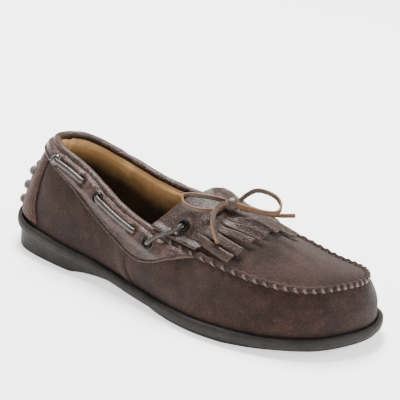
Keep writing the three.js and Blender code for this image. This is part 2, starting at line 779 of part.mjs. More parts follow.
// ---- Laces ----
// Each point of a route: station, rise or share across, and height over the suede or apron.
const half = laceThickness / 2;
const hidden = 2.5 * gap + half;
const shown = gap + channel + leatherThickness + 2.5 * gap + half;
const overEyelet = shown + flangeHeight + 1.3 * gap;

// Fills a route in between its points so that it follows the curved surface.
function followRoute(route, surface, normal) {
  const curve = new THREE.CatmullRomCurve3(
    route.map((stop) => new THREE.Vector3(...stop)),
    false,
    "centripetal",
  );
  const stops = curve.getPoints(Math.round(route.length * 2.2));
  return {
    points: stops.map((stop) => surface(stop.x, stop.y, stop.z)),
    faceAt: (i) => normal(stops[i].x, stops[i].y),
  };
}

// One side of the collar lace, from the heel forward to where it leaves the front eyelet.
const collarRoute = [
  [0, laceRise(0), hidden],
  [0.4, laceRise(0.4), hidden],
  [0.8, laceRise(0.8), hidden],
  [1.14, laceRise(1.14), hidden],
  [1.22, laceRise(1.22), hidden + 0.8],
  [1.23, laceRise(1.23), shown + 0.4],
  [1.31, laceRise(1.31), overEyelet],
  [1.42, laceRise(1.42), shown + 0.5],
  [1.7, laceRise(1.7), shown],
  [1.96, laceRise(1.96), shown],
  [2.03, laceRise(2.03), shown - 1.7],
  [2.1, laceRise(2.1), hidden],
  [2.4, laceRise(2.4), hidden],
  [2.47, laceRise(2.47), hidden + 0.8],
  [2.48, laceRise(2.48), shown + 0.4],
  [2.56, laceRise(2.56), overEyelet],
  [2.68, laceRise(2.68), shown + 0.5],
  [3, laceRise(3), shown],
  [3.35, laceRise(3.35), shown],
  [3.42, laceRise(3.42), shown - 1.7],
  [3.49, laceRise(3.49), hidden],
  [3.7, laceRise(3.7), hidden],
  [3.77, laceRise(3.77), hidden + 0.8],
  [3.78, laceRise(3.78), shown - 0.9],
];

function collarLace() {
  const outer = followRoute(collarRoute, onWall, wallNormal);
  const innerRoute = collarRoute.map(([station, rise, out]) => [-station, rise, out]);
  const inner = followRoute(innerRoute, onWall, wallNormal);
  const points = [...inner.points.slice(1).reverse(), ...outer.points];
  const count = inner.points.length;
  const faceAt = (i) => (i < count - 1 ? inner.faceAt(count - 1 - i) : outer.faceAt(i - count + 1));
  return strap(points, faceAt, laceWidth, laceThickness);
}

const sideStation = (side, station) => (side > 0 ? station : -station);

// From the front collar eyelet up and over the edge to the eyelet on the kiltie's wing.
function crossLace(side) {
  const [wingStation, wingAcross] = onSide(side, wingEyelet);
  const collarSpot = [sideStation(side, 3.78), laceRise(3.78)];
  const route = [
    onWall(...collarSpot, shown + 0.2),
    onWall(sideStation(side, 3.83), laceRise(3.83) + 0.03, overEyelet + 0.2),
    onWall(sideStation(side, 3.92), 0.96, shown + 0.8),
    onDome(...onSide(side, [wingEyelet[0] - 0.13, wingEyelet[1] * 0.4]), kiltie[1] + 2.8),
    onDome(...onSide(side, [wingEyelet[0] - 0.04, wingEyelet[1] * 0.75]), kiltie[1] + 3),
    onDome(wingStation, wingAcross, kiltie[1] + 1.6),
    onDome(wingStation, wingAcross, kiltie[1] + 0.9),
  ];
  const curve = new THREE.CatmullRomCurve3(route, false, "centripetal");
  const wall = wallNormal(...collarSpot);
  const dome = domeNormal(wingStation, wingAcross);
  const count = 16;
  return strap(
    curve.getPoints(count),
    (i) => wall.clone().lerp(dome, i / count).normalize(),
    laceWidth,
    laceThickness,
  );
}

// Between the kiltie and the tongue, from below the wing eyelet to below the slit by the knot.
function tieLace(side) {
  const [wingStation, wingAcross] = onSide(side, wingEyelet);
  const [slitStation, slitAcross] = onSide(side, knotSlit);
  const under = -half - gap / 2;
  const route = [0, 0.25, 0.5, 0.75, 1].map((share) => [
    THREE.MathUtils.lerp(wingStation, slitStation, share),
    THREE.MathUtils.lerp(wingAcross, slitAcross, share),
    under,
  ]);
  const { points, faceAt } = followRoute(route, onDome, domeNormal);
  return strap(points, faceAt, laceWidth, laceThickness);
}

const knot = () =>
  new THREE.SphereGeometry(knotRadius, 12, 8)
    .scale(1.05, 1, 0.92)
    .translate(...knotCentre.toArray());

// Free cords of the bow, as chosen points counted from the middle of the knot.
const outerLoopRoute = [
  [-5, -3, 3], [-11, -9, 5.5], [-18, -13, 6], [-25, -15.5, 5.5], [-29.5, -18.5, 4], [-27, -22, 1],
  [-20, -22.5, -0.5], [-12, -19.5, -1], [-6, -12, -1.5], [-4.2, -5.5, -1.5],
];
const innerLoopRoute = [
  [3.5, 4.2, 3], [7, 8, 7.5], [13, 9.5, 12], [22, 9.5, 13.5], [31, 9, 12], [36.5, 6, 8.5],
  [37.5, 0.5, 6], [31, -2, 4.5], [21, -2.5, 3.5], [12, -2.5, 3], [5.4, -2.2, 2.6],
];
const outerTailRoute = [
  [-1.5, -5.4, 2.5], [-3, -12, 3.5], [-2.5, -18.5, 1], [0, -24, -5.5], [5.5, -29, -11], [10.5, -32.5, -14.5],
];
const innerTailRoute = [
  [5.2, 2.2, -1.5], [12, 4, -1], [22, 7.5, -2], [32, 11.5, -2], [43, 15.5, 0],
];

function freeCord(route, steps) {
  const points = route.map((step) => new THREE.Vector3(...step).add(knotCentre));
  return roundTube(points, cordDiameter / 2, steps, 8);
}

// ---- Materials: name, colour, roughness, metalness ----
const finish = (color, roughness, metalness = 0) => ({ color, roughness, metalness });
const brownSuede = finish(0x54392f, 0.95);
const grainLeather = finish(0x654a43, 0.5);
const heelLeather = finish(0x6d4439, 0.7);
const tanLining = finish(0xc99f66, 0.7);
const darkRubber = finish(0x3f3c3b, 0.75);
const pebbleRubber = finish(0x77736c, 0.7);
const laceLeather = finish(0x4a3a35, 0.45);
const nickel = finish(0x8a8784, 0.35, 1);
const springSteel = finish(0x9a9a9c, 0.4, 1);
const corkFiller = finish(0xa98254, 0.95);
const fibreBoard = finish(0xb49a73, 0.9);
const foam = finish(0xd8cfae, 0.95);
const stiffener = finish(0xcfc8b8, 0.85);

const moccasin = new THREE.Group();

function add(name, geometry, look) {
  const mesh = new THREE.Mesh(geometry, new THREE.MeshStandardMaterial(look));
  mesh.name = name;
  moccasin.add(mesh);
}

add("outsole", outsole(), darkRubber);
add("midsole_filler", midsoleFiller(), corkFiller);
add("shank", shank(), springSteel);
add("insole_board", insoleBoard(), fibreBoard);
add("heel_pad", heelPad(), foam);
add("sock_liner", sock(), tanLining);

add("vamp_wall", vampWall(), brownSuede);
add("quarter_outer", quarterOuter(), brownSuede);
add("quarter_inner", quarterInner(), brownSuede);
add("quarter_lining", quarterLining(), tanLining);
add("vamp_lining", vampLining(), tanLining);
add("heel_counter", heelCounter(), stiffener);
add("collar_foam", collarFoam(), foam);
add("heel_patch", heelPatch(), heelLeather);
add("heel_pebble_plate", pebblePlate(), pebbleRubber);

add("mouth_binding", mouthBinding(), grainLeather);
add("apron", apron(), brownSuede);
add("apron_lining", apronLiningPiece(), tanLining);
add("apron_seam_roll", apronSeam(), brownSuede);
add("whip_lace", whipLace(), laceLeather);

add("tongue", tonguePiece(), grainLeather);
add("kiltie_saddle", kiltieSaddle(), grainLeather);
add("kiltie_fringe", kiltieFringe(), grainLeather);

const collarEyelets = { rear: 1.22, middle: 2.48, front: 3.78 };
const laceSlots = [2.03, 3.42];
for (const [sideName, side] of [["outer", 1], ["inner", -1]]) {
  const holes = Object.values(collarEyelets).map((station) =>
    drill(onWall, wallNormal, sideStation(side, station), laceRise(station)),
  );
  const slots = laceSlots.map((station) =>
    slotCutter(
      onWall,
      wallNormal,
      [sideStation(side, station - 0.05), laceRise(station - 0.05)],
      [sideStation(side, station + 0.05), laceRise(station + 0.05)],
    ),
  );
  add("collar_" + sideName, cutBy(collar(side), ...holes, ...slots), grainLeather);
  for (const [place, fromBack] of Object.entries(collarEyelets)) {
    const station = sideStation(side, fromBack);
    const rise = laceRise(fromBack);
    const ring = eyelet(onWall, wallNormal, station, rise, collarFace(station, rise));
    add(`eyelet_${place}_${sideName}`, ring, nickel);
  }
  const wing = onSide(side, wingEyelet);
  add("eyelet_kiltie_" + sideName, eyelet(onDome, domeNormal, ...wing, kiltie[1]), nickel);
  add("cross_lace_" + sideName, crossLace(side), laceLeather);
  add("tie_lace_" + sideName, tieLace(side), laceLeather);
}
add("collar_lace", collarLace(), laceLeather);
add("bow_knot", knot(), laceLeather);
add("bow_loop_outer", freeCord(outerLoopRoute, 26), laceLeather);
add("bow_loop_inner", freeCord(innerLoopRoute, 28), laceLeather);
add("bow_tail_outer", freeCord(outerTailRoute, 14), laceLeather);
add("bow_tail_inner", freeCord(innerTailRoute, 14), laceLeather);

// Stand the shoe over the origin: middle of its length and width, sole on Z = 0.
const box = new THREE.Box3().setFromObject(moccasin);
const middle = box.getCenter(new THREE.Vector3());
moccasin.position.set(-middle.x, -middle.y, 0);

export default moccasin;
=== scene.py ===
# A driving moccasin drawn over its CAD frame: suede upper, whip-stitched apron, laced collar,
# fringed kiltie with a bow, rubber sole. Lengths are in millimetres until a mesh is made.
import math
import bpy
import bmesh
import numpy as np
from mathutils import Matrix, Vector


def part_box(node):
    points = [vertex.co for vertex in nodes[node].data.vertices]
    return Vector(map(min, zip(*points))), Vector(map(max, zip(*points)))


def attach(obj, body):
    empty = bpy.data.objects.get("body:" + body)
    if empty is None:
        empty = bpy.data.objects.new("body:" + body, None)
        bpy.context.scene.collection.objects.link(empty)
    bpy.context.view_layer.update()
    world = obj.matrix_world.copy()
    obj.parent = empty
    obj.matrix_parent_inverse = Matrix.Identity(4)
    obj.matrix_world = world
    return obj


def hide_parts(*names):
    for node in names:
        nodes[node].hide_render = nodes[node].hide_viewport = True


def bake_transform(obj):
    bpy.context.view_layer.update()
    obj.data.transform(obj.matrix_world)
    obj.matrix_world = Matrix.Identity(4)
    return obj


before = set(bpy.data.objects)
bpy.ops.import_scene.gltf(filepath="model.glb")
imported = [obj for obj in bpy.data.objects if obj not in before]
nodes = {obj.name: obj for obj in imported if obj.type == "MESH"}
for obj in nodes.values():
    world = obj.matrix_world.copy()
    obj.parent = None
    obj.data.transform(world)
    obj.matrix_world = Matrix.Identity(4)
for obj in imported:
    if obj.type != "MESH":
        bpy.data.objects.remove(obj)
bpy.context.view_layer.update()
print("stage: frame loaded")

# Camera: where it stands, what it looks at, its lean and its lens
cameraSet = {"eye": (0.7961, -1.2411, 0.7603), "aim": (0.0036, 0.0043, 0.0721), "lean": 4.27, "lens": 204.6}


# Stands the camera at eye, turned to aim and leaned by lean degrees.
def makeCamera():
    eye, aim = Vector(cameraSet["eye"]), Vector(cameraSet["aim"])
    back = (eye - aim).normalized()
    right = Vector((0, 0, 1)).cross(back).normalized()
    up = back.cross(right)
    lean = math.radians(cameraSet["lean"])
    leanRight = right * math.cos(lean) + up * math.sin(lean)
    leanUp = up * math.cos(lean) - right * math.sin(lean)
    data = bpy.data.cameras.new("camera")
    data.lens = cameraSet["lens"]
    data.sensor_width = 36
    data.clip_end = 20
    camera = bpy.data.objects.new("camera", data)
    turn = Matrix((leanRight, leanUp, back)).transposed().to_4x4()
    camera.matrix_world = Matrix.Translation(eye) @ turn
    bpy.context.scene.collection.objects.link(camera)
    bpy.context.scene.camera = camera


makeCamera()

# The last and the layers over it, the same sizes as the CAD source
last = {
    "length": 289, "width": 99, "collarHeight": 64, "instep": 74, "bulge": 3.5, "gap": 0.3, "soleReach": 5,
}
seat = {"heel": 24, "waist": 14, "ball": 10.5, "toe": 17}
around = 18  # stations round the foot, 0 at the heel
toe = 9
wallStep = 42  # about how many millimetres of wall lie in one station
sideNames = ((1, "outer"), (-1, "inner"))
featherPoints = np.array([
    (-147, -1), (-135, -26), (-99, -35), (-55, -37), (-8, -46), (39, -54), (83, -48), (117, -32), (136, -8),
    (142, 15), (132, 35), (105, 44), (69, 45), (28, 39), (-16, 32), (-61, 29), (-103, 29), (-136, 20),
], float)
toplinePoints = np.array([
    (-127, 2, 61.5), (-112, -16, 64), (-82, -21, 58.5), (-43, -30, 47.5), (-2, -37, 43.5), (41, -41, 41.5),
    (80, -39, 38), (110, -28, 35.5), (127, -8, 34.5), (134, 11, 34), (124, 27, 34), (98, 33, 35),
    (67, 35, 40), (30, 35, 44.5), (-9, 34, 46), (-49, 32, 47), (-85, 29, 53), (-114, 20, 60),
], float)
crestPoints = np.array([
    (3, -19, 0, 71.5), (3.5, -8, 0, 73.5), (4, 3, 0, 72.5), (4.5, 16, 1, 70.5), (5, 33, -1, 62.5),
    (5.5, 52, -2, 56), (6, 73, -2, 49.5), (7, 104, 2, 43), (8, 125, 8, 38.5), (9, 134, 11, 34.5),
], float)
collarLow = [
    (0, .83), (.95, .83), (1.45, .77), (1.85, .72), (2.47, .63), (3.15, .525), (3.47, .465),
    (3.7, .47), (3.95, .56), (4.3, .76), (4.7, .96),
]
laceLine = [(0, .87), (1.22, .885), (2.02, .88), (2.48, .872), (3.41, .86), (3.78, .82), (4.3, .8)]


# a + (b - a) t.
def lerp(a, b, t):
    return a + (b - a) * t


# t^2 (3 - 2 t), with t kept in 0 to 1.
def smooth(t):
    t = np.clip(t, 0, 1)
    return t * t * (3 - 2 * t)


# A vector over its length.
def unit(v):
    return v / np.maximum(np.linalg.norm(v, axis=-1, keepdims=True), 1e-12)


# The cubic from p1 to p2 that leaves with slope m1 and arrives with slope m2.
def hermite(p1, p2, m1, m2, t):
    t2, t3 = t * t, t * t * t
    return (2 * t3 - 3 * t2 + 1) * p1 + (t3 - 2 * t2 + t) * m1 + (3 * t2 - 2 * t3) * p2 + (t3 - t2) * m2


# The height at x of a smooth curve through (x, height) pairs: cubics whose slopes come from both
# neighbours.
def valueAlong(pairs, x):
    pairs = np.asarray(pairs, float)
    xs, vs = pairs[:, 0], pairs[:, 1]
    x = np.asarray(x, float)
    count = len(xs)
    i = np.clip(np.searchsorted(xs, x, side="right") - 1, 0, count - 2)
    before, after = np.maximum(np.arange(count) - 1, 0), np.minimum(np.arange(count) + 1, count - 1)
    slopes = (vs[after] - vs[before]) / (xs[after] - xs[before])
    span = xs[i + 1] - xs[i]
    t = np.clip((x - xs[i]) / span, 0, 1)
    return hermite(vs[i], vs[i + 1], slopes[i] * span, slopes[i + 1] * span, t)


# A point of the closed curve through points: cubics whose slopes are half the step between both
# neighbours.
def loopPoint(points, station):
    station = np.mod(np.asarray(station, float), len(points))
    i = np.floor(station).astype(int)
    t = (station - i)[..., None]
    p0, p1, p2, p3 = (points[(i + k) % len(points)] for k in (-1, 0, 1, 2))
    return hermite(p1, p2, (p2 - p0) / 2, (p3 - p1) / 2, t)


# The largest value less the smallest.
def spanOf(values):
    return values.max() - values.min()


lengthScale = last["length"] / spanOf(featherPoints[:, 0])
widthScale = last["width"] / spanOf(featherPoints[:, 1])
wallScale = last["collarHeight"] / toplinePoints[:, 2].max()
crestScale = last["instep"] / crestPoints[:, 3].max()
seatPairs = np.array([
    (-0.52, seat["heel"]), (-0.345, (seat["heel"] + seat["waist"]) / 2), (-0.173, seat["waist"]),
    (0, seat["ball"]), (0.173, seat["ball"]), (0.35, seat["ball"] + (seat["toe"] - seat["ball"]) / 4),
    (0.52, seat["toe"]),
]) * (last["length"], 1)


# How high the foot's seat stands at x.
def seatHeight(x):
    return valueAlong(seatPairs, x)


featherFlat = np.column_stack([featherPoints * (lengthScale, widthScale), np.zeros(around)])
toplineFixed = toplinePoints * (lengthScale, widthScale, wallScale)
toplineFixed[:, 2] += seatHeight(toplineFixed[:, 0])


# Where the wall meets the sole: the outline at a station, raised to the seat.
def featherAt(station):
    point = loopPoint(featherFlat, station)
    point[..., 2] = seatHeight(point[..., 0]) + last["gap"]
    return point


# Where the wall ends on top: the mouth's edge at the back, the apron's seam at the front.
def toplineAt(station):
    return loopPoint(toplineFixed, station)


# The straight distance from the sole line to the top line.
def wallTall(station):
    return np.linalg.norm(featherAt(station) - toplineAt(station), axis=-1)


# The level direction away from the foot: the outline's run, turned a quarter.
def outwardAt(station):
    run = featherAt(station + 0.05) - featherAt(station - 0.05)
    return unit(np.stack([run[..., 1], -run[..., 0], 0 * run[..., 0]], -1))


# The line from sole to top at a rise, plus 4 bulge rise (1 - rise) outward.
def wallSkin(station, rise):
    belly = (last["bulge"] * 4 * rise * (1 - rise))[..., None]
    return lerp(featherAt(station), toplineAt(station), rise[..., None]) + outwardAt(station) * belly


# The cross product of the wall's run and its climb.
def wallNormal(station, rise):
    side = wallSkin(station + 0.1, rise) - wallSkin(station - 0.1, rise)
    up = wallSkin(station, np.minimum(rise, 1) + 0.02) - wallSkin(station, rise - 0.02)
    return unit(np.cross(side, up))


# A point of the wall, moved out along its normal.
def onWall(station, rise, out):
    station, rise, out = np.broadcast_arrays(*(np.asarray(v, float) for v in (station, rise, out)))
    return wallSkin(station, rise) + wallNormal(station, rise) * out[..., None]


# The dome's highest line, from the mouth to the toe.
def crestAt(station):
    x = valueAlong(crestPoints[:, [0, 1]] * (1, lengthScale), station)
    y = valueAlong(crestPoints[:, [0, 2]] * (1, widthScale), station)
    return np.stack([x, y, seatHeight(x) + valueAlong(crestPoints[:, [0, 3]] * (1, crestScale), station)], -1)


# The line between the two top edges at a share across, plus 4 across (1 - across) times the crest's lift.
def domeSkin(station, across):
    near, far = toplineAt(station), toplineAt(around - station)
    lift = crestAt(station) - (near + far) / 2
    return lerp(near, far, across[..., None]) + lift * (4 * across * (1 - across))[..., None]


# The cross product of the dome's forward and sideways runs.
def domeNormal(station, across):
    back = domeSkin(station - 0.05, across)
    forward = domeSkin(np.minimum(station + 0.05, toe), across) - back
    side = domeSkin(station, across + 0.01) - domeSkin(station, across - 0.01)
    return unit(np.cross(forward, side))


# A point of the dome, moved out along its normal.
def onDome(station, across, out):
    station, across, out = np.broadcast_arrays(*(np.asarray(v, float) for v in (station, across, out)))
    return domeSkin(station, across) + domeNormal(station, across) * out[..., None]


# The straight distance between the two top edges.
def domeWide(station):
    return np.linalg.norm(toplineAt(station) - toplineAt(around - station), axis=-1)


# The CAD model stands centred over the origin: the sole's outline gives the move from the last.
def frameShift():
    station = np.arange(54) / 3
    rim = featherAt(station) + outwardAt(station) * last["soleReach"]
    low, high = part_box("outsole")
    middle = np.array([(low[k] + high[k]) * 500 for k in (0, 1)])
    return np.append(middle - (rim.max(0) + rim.min(0))[:2] / 2, 0)


shift = frameShift()


# Millimetres on the last as metres in the frame.
def metres(points):
    return (np.asarray(points, float) + shift) * 0.001


print("stage: surfaces ready, shift", [round(float(v), 3) for v in shift])


# Mesh making
# One mesh from points in millimetres; marks are named numbers kept on its vertices.
def makeObject(name, points, faces, marks=None):
    mesh = bpy.data.meshes.new(name)
    faces = faces.tolist() if isinstance(faces, np.ndarray) else faces
    mesh.from_pydata(metres(points.reshape(-1, 3)).tolist(), [], faces)
    for key, values in (marks or {}).items():
        layer = mesh.attributes.new(key, "FLOAT", "POINT")
        layer.data.foreach_set("value", np.ascontiguousarray(values, dtype=np.float32).ravel())
    mesh.shade_smooth()
    thing = bpy.data.objects.new(name, mesh)
    bpy.context.scene.collection.objects.link(thing)
    return thing


# Joins vertices that coincide and turns every face outward.
def weld(thing, distance=1e-6):
    work = bmesh.new()
    work.from_mesh(thing.data)
    bmesh.ops.remove_doubles(work, verts=work.verts, dist=distance)
    bmesh.ops.dissolve_degenerate(work, dist=distance, edges=work.edges)
    bmesh.ops.recalc_face_normals(work, faces=work.faces)
    work.to_mesh(thing.data)
    work.free()
    thing.data.shade_smooth()
    return thing


# Four-cornered faces between the neighbours of a grid, closed round where asked.
def gridFaces(rows, columns, start=0, wrapRows=False, wrapColumns=False):
    r = np.arange(rows if wrapRows else rows - 1)
    c = np.arange(columns if wrapColumns else columns - 1)
    r, c = np.meshgrid(r, c, indexing="ij")
    r2, c2 = (r + 1) % rows, (c + 1) % columns
    corners = [r * columns + c, r * columns + c2, r2 * columns + c2, r2 * columns + c]
    return np.stack(corners, -1).reshape(-1, 4) + start


# How far each grid point lies from each of the grid's four borders, in millimetres.
def borderDistance(points):
    rowStep = np.linalg.norm(np.diff(points, axis=0), axis=-1)
    columnStep = np.linalg.norm(np.diff(points, axis=1), axis=-1)
    fromLow = np.concatenate([np.zeros_like(points[:1, :, 0]), np.cumsum(rowStep, 0)])
    fromLeft = np.concatenate([np.zeros_like(points[:, :1, 0]), np.cumsum(columnStep, 1)], 1)
    return fromLow, fromLow[-1:] - fromLow, fromLeft, fromLeft[:, -1:] - fromLeft


# Steps from start to end, closer together at both ends, so that an edge can be round.
def edged(start, end, count, length):
    near = np.array([0, 0.06, 0.22, 0.5, 0.9]) / length
    middle = np.linspace(near[-1], 1 - near[-1], count + 1)[1:-1]
    return lerp(start, end, np.concatenate([near, middle, (1 - near)[::-1]]))


# A sheet with round edges between two offsets of a surface: at distance d from the border, half its
# thickness is h sqrt(1 - (1 - d / (1.1 h))^2), where h is half the full thickness.
def panelBody(name, surface, station, at, inner, outer, bumps=None):
    middle = surface(station, at, (inner + outer) / 2)
    sides = borderDistance(middle)
    nearest = np.minimum.reduce(sides)
    thickness = (outer - inner) * np.ones_like(station)
    roundOff = np.minimum(nearest / (thickness * 0.55), 1)
    half = thickness / 2 * np.sqrt(np.clip(1 - (1 - roundOff) ** 2, 0, 1))
    extra = bumps(station, at, sides) if bumps else 0
    centre = (inner + outer) / 2 + extra
    top = surface(station, at, centre + half)
    base = surface(station, at, centre - half)
    rows, columns = station.shape
    faces = np.concatenate([gridFaces(rows, columns), gridFaces(rows, columns, rows * columns)[:, ::-1]])
    edge = 1 - smooth((nearest - 0.1) / (thickness * 0.5))
    marks = {"edge": np.concatenate([edge.ravel(), edge.ravel()])}
    return weld(makeObject(name, np.concatenate([top.reshape(-1, 3), base.reshape(-1, 3)]), faces, marks))


# Centripetal Catmull-Rom curve through points, count steps.
def throughPoints(points, count):
    points = np.asarray(points, float)
    full = np.vstack([2 * points[0] - points[1], points, 2 * points[-1] - points[-2]])
    place = np.linspace(0, len(points) - 1, count + 1)
    i = np.minimum(np.floor(place).astype(int), len(points) - 2)
    t = (place - i)[:, None]
    p0, p1, p2, p3 = (full[i + k] for k in range(4))
    step = [np.sqrt(np.linalg.norm(b - a, axis=1, keepdims=True)) for a, b in ((p0, p1), (p1, p2), (p2, p3))]
    d1 = np.where(step[1] < 1e-4, 1, step[1])
    d0, d2 = (np.where(s < 1e-4, d1, s) for s in (step[0], step[2]))
    m1 = ((p1 - p0) / d0 - (p2 - p0) / (d0 + d1) + (p2 - p1) / d1) * d1
    m2 = ((p2 - p1) / d1 - (p3 - p1) / (d1 + d2) + (p3 - p2) / d2) * d1
    return hermite(p1, p2, m1, m2, t)


# Angles of count even steps round a circle.
def roundAngles(count):
    return np.linspace(0, 2 * np.pi, count, endpoint=False)


# The distance from a path's start to each of its points.
def reachAlong(path):
    return np.concatenate([[0], np.cumsum(np.linalg.norm(np.diff(path, axis=0), axis=1))])


# Values kept at the points of a path, read at other distances along it.
def readAt(values, reach, wanted):
    return np.stack([np.interp(wanted, reach, values[:, k]) for k in range(3)], -1)


# The same path with evenly spaced points.
def evenly(points, count):
    reach = reachAlong(points)
    return readAt(points, reach, np.linspace(0, reach[-1], count))


# Tangent, side and face vectors along a path; wish is the face wanted, or the side wanted.
def framesAlong(path, wish, bySide=False):
    run = unit(np.gradient(path, axis=0))
    wish = np.broadcast_to(wish, path.shape)
    held = unit(wish - run * (wish * run).sum(-1, keepdims=True))
    return (run, held, np.cross(held, run)) if bySide else (run, np.cross(run, held), held)


# A rounded rectangle and, for each of its points, how much it belongs to a cut edge.
def rectangleProfile(width, thickness, corner, each=4):
    angle = roundAngles(8 * each) + np.pi / (8 * each)
    power = 2 / lerp(2, 7, 1 - corner)
    x = np.sign(np.cos(angle)) * np.abs(np.cos(angle)) ** power * width / 2
    y = np.sign(np.sin(angle)) * np.abs(np.sin(angle)) ** power * thickness / 2
    return np.stack([x, y], -1), smooth((np.abs(x) / (width / 2) - 0.86) / 0.1)


# A closed body swept along a path: profile x runs along the side vector, y along the face.
def sweep(name, path, wish, profile, edge=None, scale=None, bySide=False):
    run, side, faces = framesAlong(path, wish, bySide)
    scale = np.ones(len(path)) if scale is None else scale
    offset = side[:, None] * profile[None, :, 0, None] + faces[:, None] * profile[None, :, 1, None]
    rings = path[:, None] + offset * scale[:, None, None]
    count, sides = rings.shape[:2]
    polygons = gridFaces(count, sides, wrapColumns=True).tolist()
    polygons += [list(range(sides))[::-1], list(range((count - 1) * sides, count * sides))]
    marks = np.tile(edge if edge is not None else np.zeros(sides), count)
    marks[:sides] = 1  # both ends are cut faces
    marks[-sides:] = 1
    return makeObject(name, rings, polygons, {"edge": marks})


# A ring or knob turned round an axis through centre; profile is (radius, height) pairs.
def lathe(name, profile, centre, axis, segments):
    profile = np.asarray(profile, float)
    sideways = unit(np.cross(axis, (0.3, 0.9, 0.2)))
    other = np.cross(axis, sideways)
    angle = roundAngles(segments)
    spoke = np.cos(angle)[:, None] * sideways + np.sin(angle)[:, None] * other
    points = centre + spoke[:, None] * profile[None, :, 0, None] + axis * profile[None, :, 1, None]
    closed = np.allclose(profile[0], profile[-1])
    if closed:
        points = points[:, :-1]
    faces = gridFaces(segments, points.shape[1], wrapRows=True, wrapColumns=closed)
    return weld(makeObject(name, points, faces))


# A row of thread stitches lying along a path, each a small capsule sunk at its ends.
def stitchRow(name, path, normal, pitch, length, radius, skip=0):
    reach = reachAlong(path)
    count = int((reach[-1] - skip) / pitch)
    along = (np.arange(count) + 0.5) * pitch + skip / 2
    share = np.linspace(-1, 1, 5)
    sink = -radius * 1.3 * share ** 4
    thick = np.array([0.5, 0.92, 1, 0.92, 0.5]) * radius
    spine = readAt(path, reach, (along[:, None] + share[None] * length / 2).ravel()).reshape(count, 5, 3)
    up = unit(readAt(normal, reach, along))
    run = unit(spine[:, -1] - spine[:, 0])
    side = np.cross(run, up)
    angle = np.arange(6) * np.pi / 3
    ring = np.cos(angle)[:, None, None] * side[None] + np.sin(angle)[:, None, None] * up[None]
    centre = spine + up[:, None] * (sink + radius * 0.4)[None, :, None]
    points = centre[:, :, None] + ring.transpose(1, 0, 2)[:, None] * thick[None, :, None, None]
    base = gridFaces(5, 6, wrapColumns=True).tolist()
    base += [[5, 4, 3, 2, 1, 0], [24, 25, 26, 27, 28, 29]]
    faces = [[v + 30 * k for v in face] for k in range(count) for face in base]
    return makeObject(name, points, faces)


# Gives a piece its finish, its body and the CAD nodes that it stands for; slot is not used.
def replaceWith(thing, body, finish, slot, *names):
    thing.data.materials.clear()
    thing.data.materials.append(finish)
    if body:
        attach(thing, body)
    if names:
        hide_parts(*names)
    return thing


# Materials

# A number or colour in a material's node tree; + - * on values make Math nodes.
class Term:
    def __init__(self, paint, socket):
        self.paint, self.socket = paint, socket

    def math(self, operation, *others):
        return self.paint.node("ShaderNodeMath", {"operation": operation}, dict(enumerate((self, *others))))

    def __add__(self, other):
        return self.math("ADD", other)

    def __mul__(self, other):
        return self.math("MULTIPLY", other)

    def __sub__(self, other):
        return self.math("SUBTRACT", other)

    def __rsub__(self, other):
        return (self * -1).math("ADD", other)

    __radd__, __rmul__ = __add__, __mul__


class Paint:
    def __init__(self, name):
        self.material = bpy.data.materials.new(name)
        self.material.use_nodes = True
        self.tree = self.material.node_tree
        self.shader = next(n for n in self.tree.nodes if n.type == "BSDF_PRINCIPLED")
        self.place = self.node("ShaderNodeTexCoord", {}, {}, "Object")

    def node(self, kind, settings, inputs, output=0):
        made = self.tree.nodes.new(kind)
        for key, value in settings.items():
            setattr(made, key, value)
        for key, value in inputs.items():
            self.plug(made.inputs[key], value)
        return Term(self, made.outputs[output])

    def plug(self, socket, value):
        if isinstance(value, Term):
            self.tree.links.new(value.socket, socket)
        elif socket.type == "RGBA" and len(value) == 3:
            socket.default_value = (*value, 1)
        else:
            socket.default_value = value

    def scaled(self, scale):
        factor = scale if isinstance(scale, tuple) else (scale, scale, scale)
        inputs = {0: self.place, 1: tuple(1000 / f for f in factor)}
        return self.node("ShaderNodeVectorMath", {"operation": "MULTIPLY"}, inputs)

    # Fractal noise whose lumps are about size millimetres across; size may differ by axis.
    def noise(self, size, detail=3, rough=0.55, twist=0):
        inputs = {"Scale": 1, "Detail": detail, "Roughness": rough, "Distortion": twist}
        return self.node("ShaderNodeTexNoise", {}, {"Vector": self.scaled(size), **inputs})

    # Voronoi cells about size millimetres across: distance to the nearest point or edge.
    def cells(self, size, feature):
        inputs = {"Vector": self.scaled(size), "Scale": 1}
        return self.node("ShaderNodeTexVoronoi", {"feature": feature}, inputs, "Distance")

    def mark(self, name):
        return self.node("ShaderNodeAttribute", {"attribute_name": name}, {}, "Fac")

    def ramp(self, value, low, high, toLow=0, toHigh=1):
        inputs = {0: value, 1: low, 2: high, 3: toLow, 4: toHigh}
        return self.node("ShaderNodeMapRange", {"interpolation_type": "SMOOTHSTEP"}, inputs)

    def mix(self, a, b, share):
        return self.node("ShaderNodeMix", {"data_type": "RGBA"}, {0: share, 6: a, 7: b}, 2)

    # Surface normal from a height field: depth is the height's full scale in millimetres.
    def bump(self, height, depth, below=None):
        inputs = {"Height": height, "Distance": depth * 0.001, "Strength": 1}
        if below:
            inputs["Normal"] = below
        return self.node("ShaderNodeBump", {}, inputs)

    def finish(self, color, rough, normal=None, **fixed):
        self.plug(self.shader.inputs["Base Color"], color)
        self.plug(self.shader.inputs["Roughness"], rough)
        if normal:
            self.plug(self.shader.inputs["Normal"], normal)
        for key, value in fixed.items():
            self.shader.inputs[key.replace("_", " ")].default_value = value
        return self.material


# A screen colour, 0 to 255 each, as the linear light that materials use.
def tone(red, green, blue):
    shares = [value / 255 for value in (red, green, blue)]
    return tuple(s / 12.92 if s < 0.04 else ((s + 0.055) / 1.055) ** 2.4 for s in shares)


suedeSet = {"deep": (25, 16, 13), "mid": (42, 27, 22), "lit": (68, 45, 36), "nap": 1.2, "patch": 24}
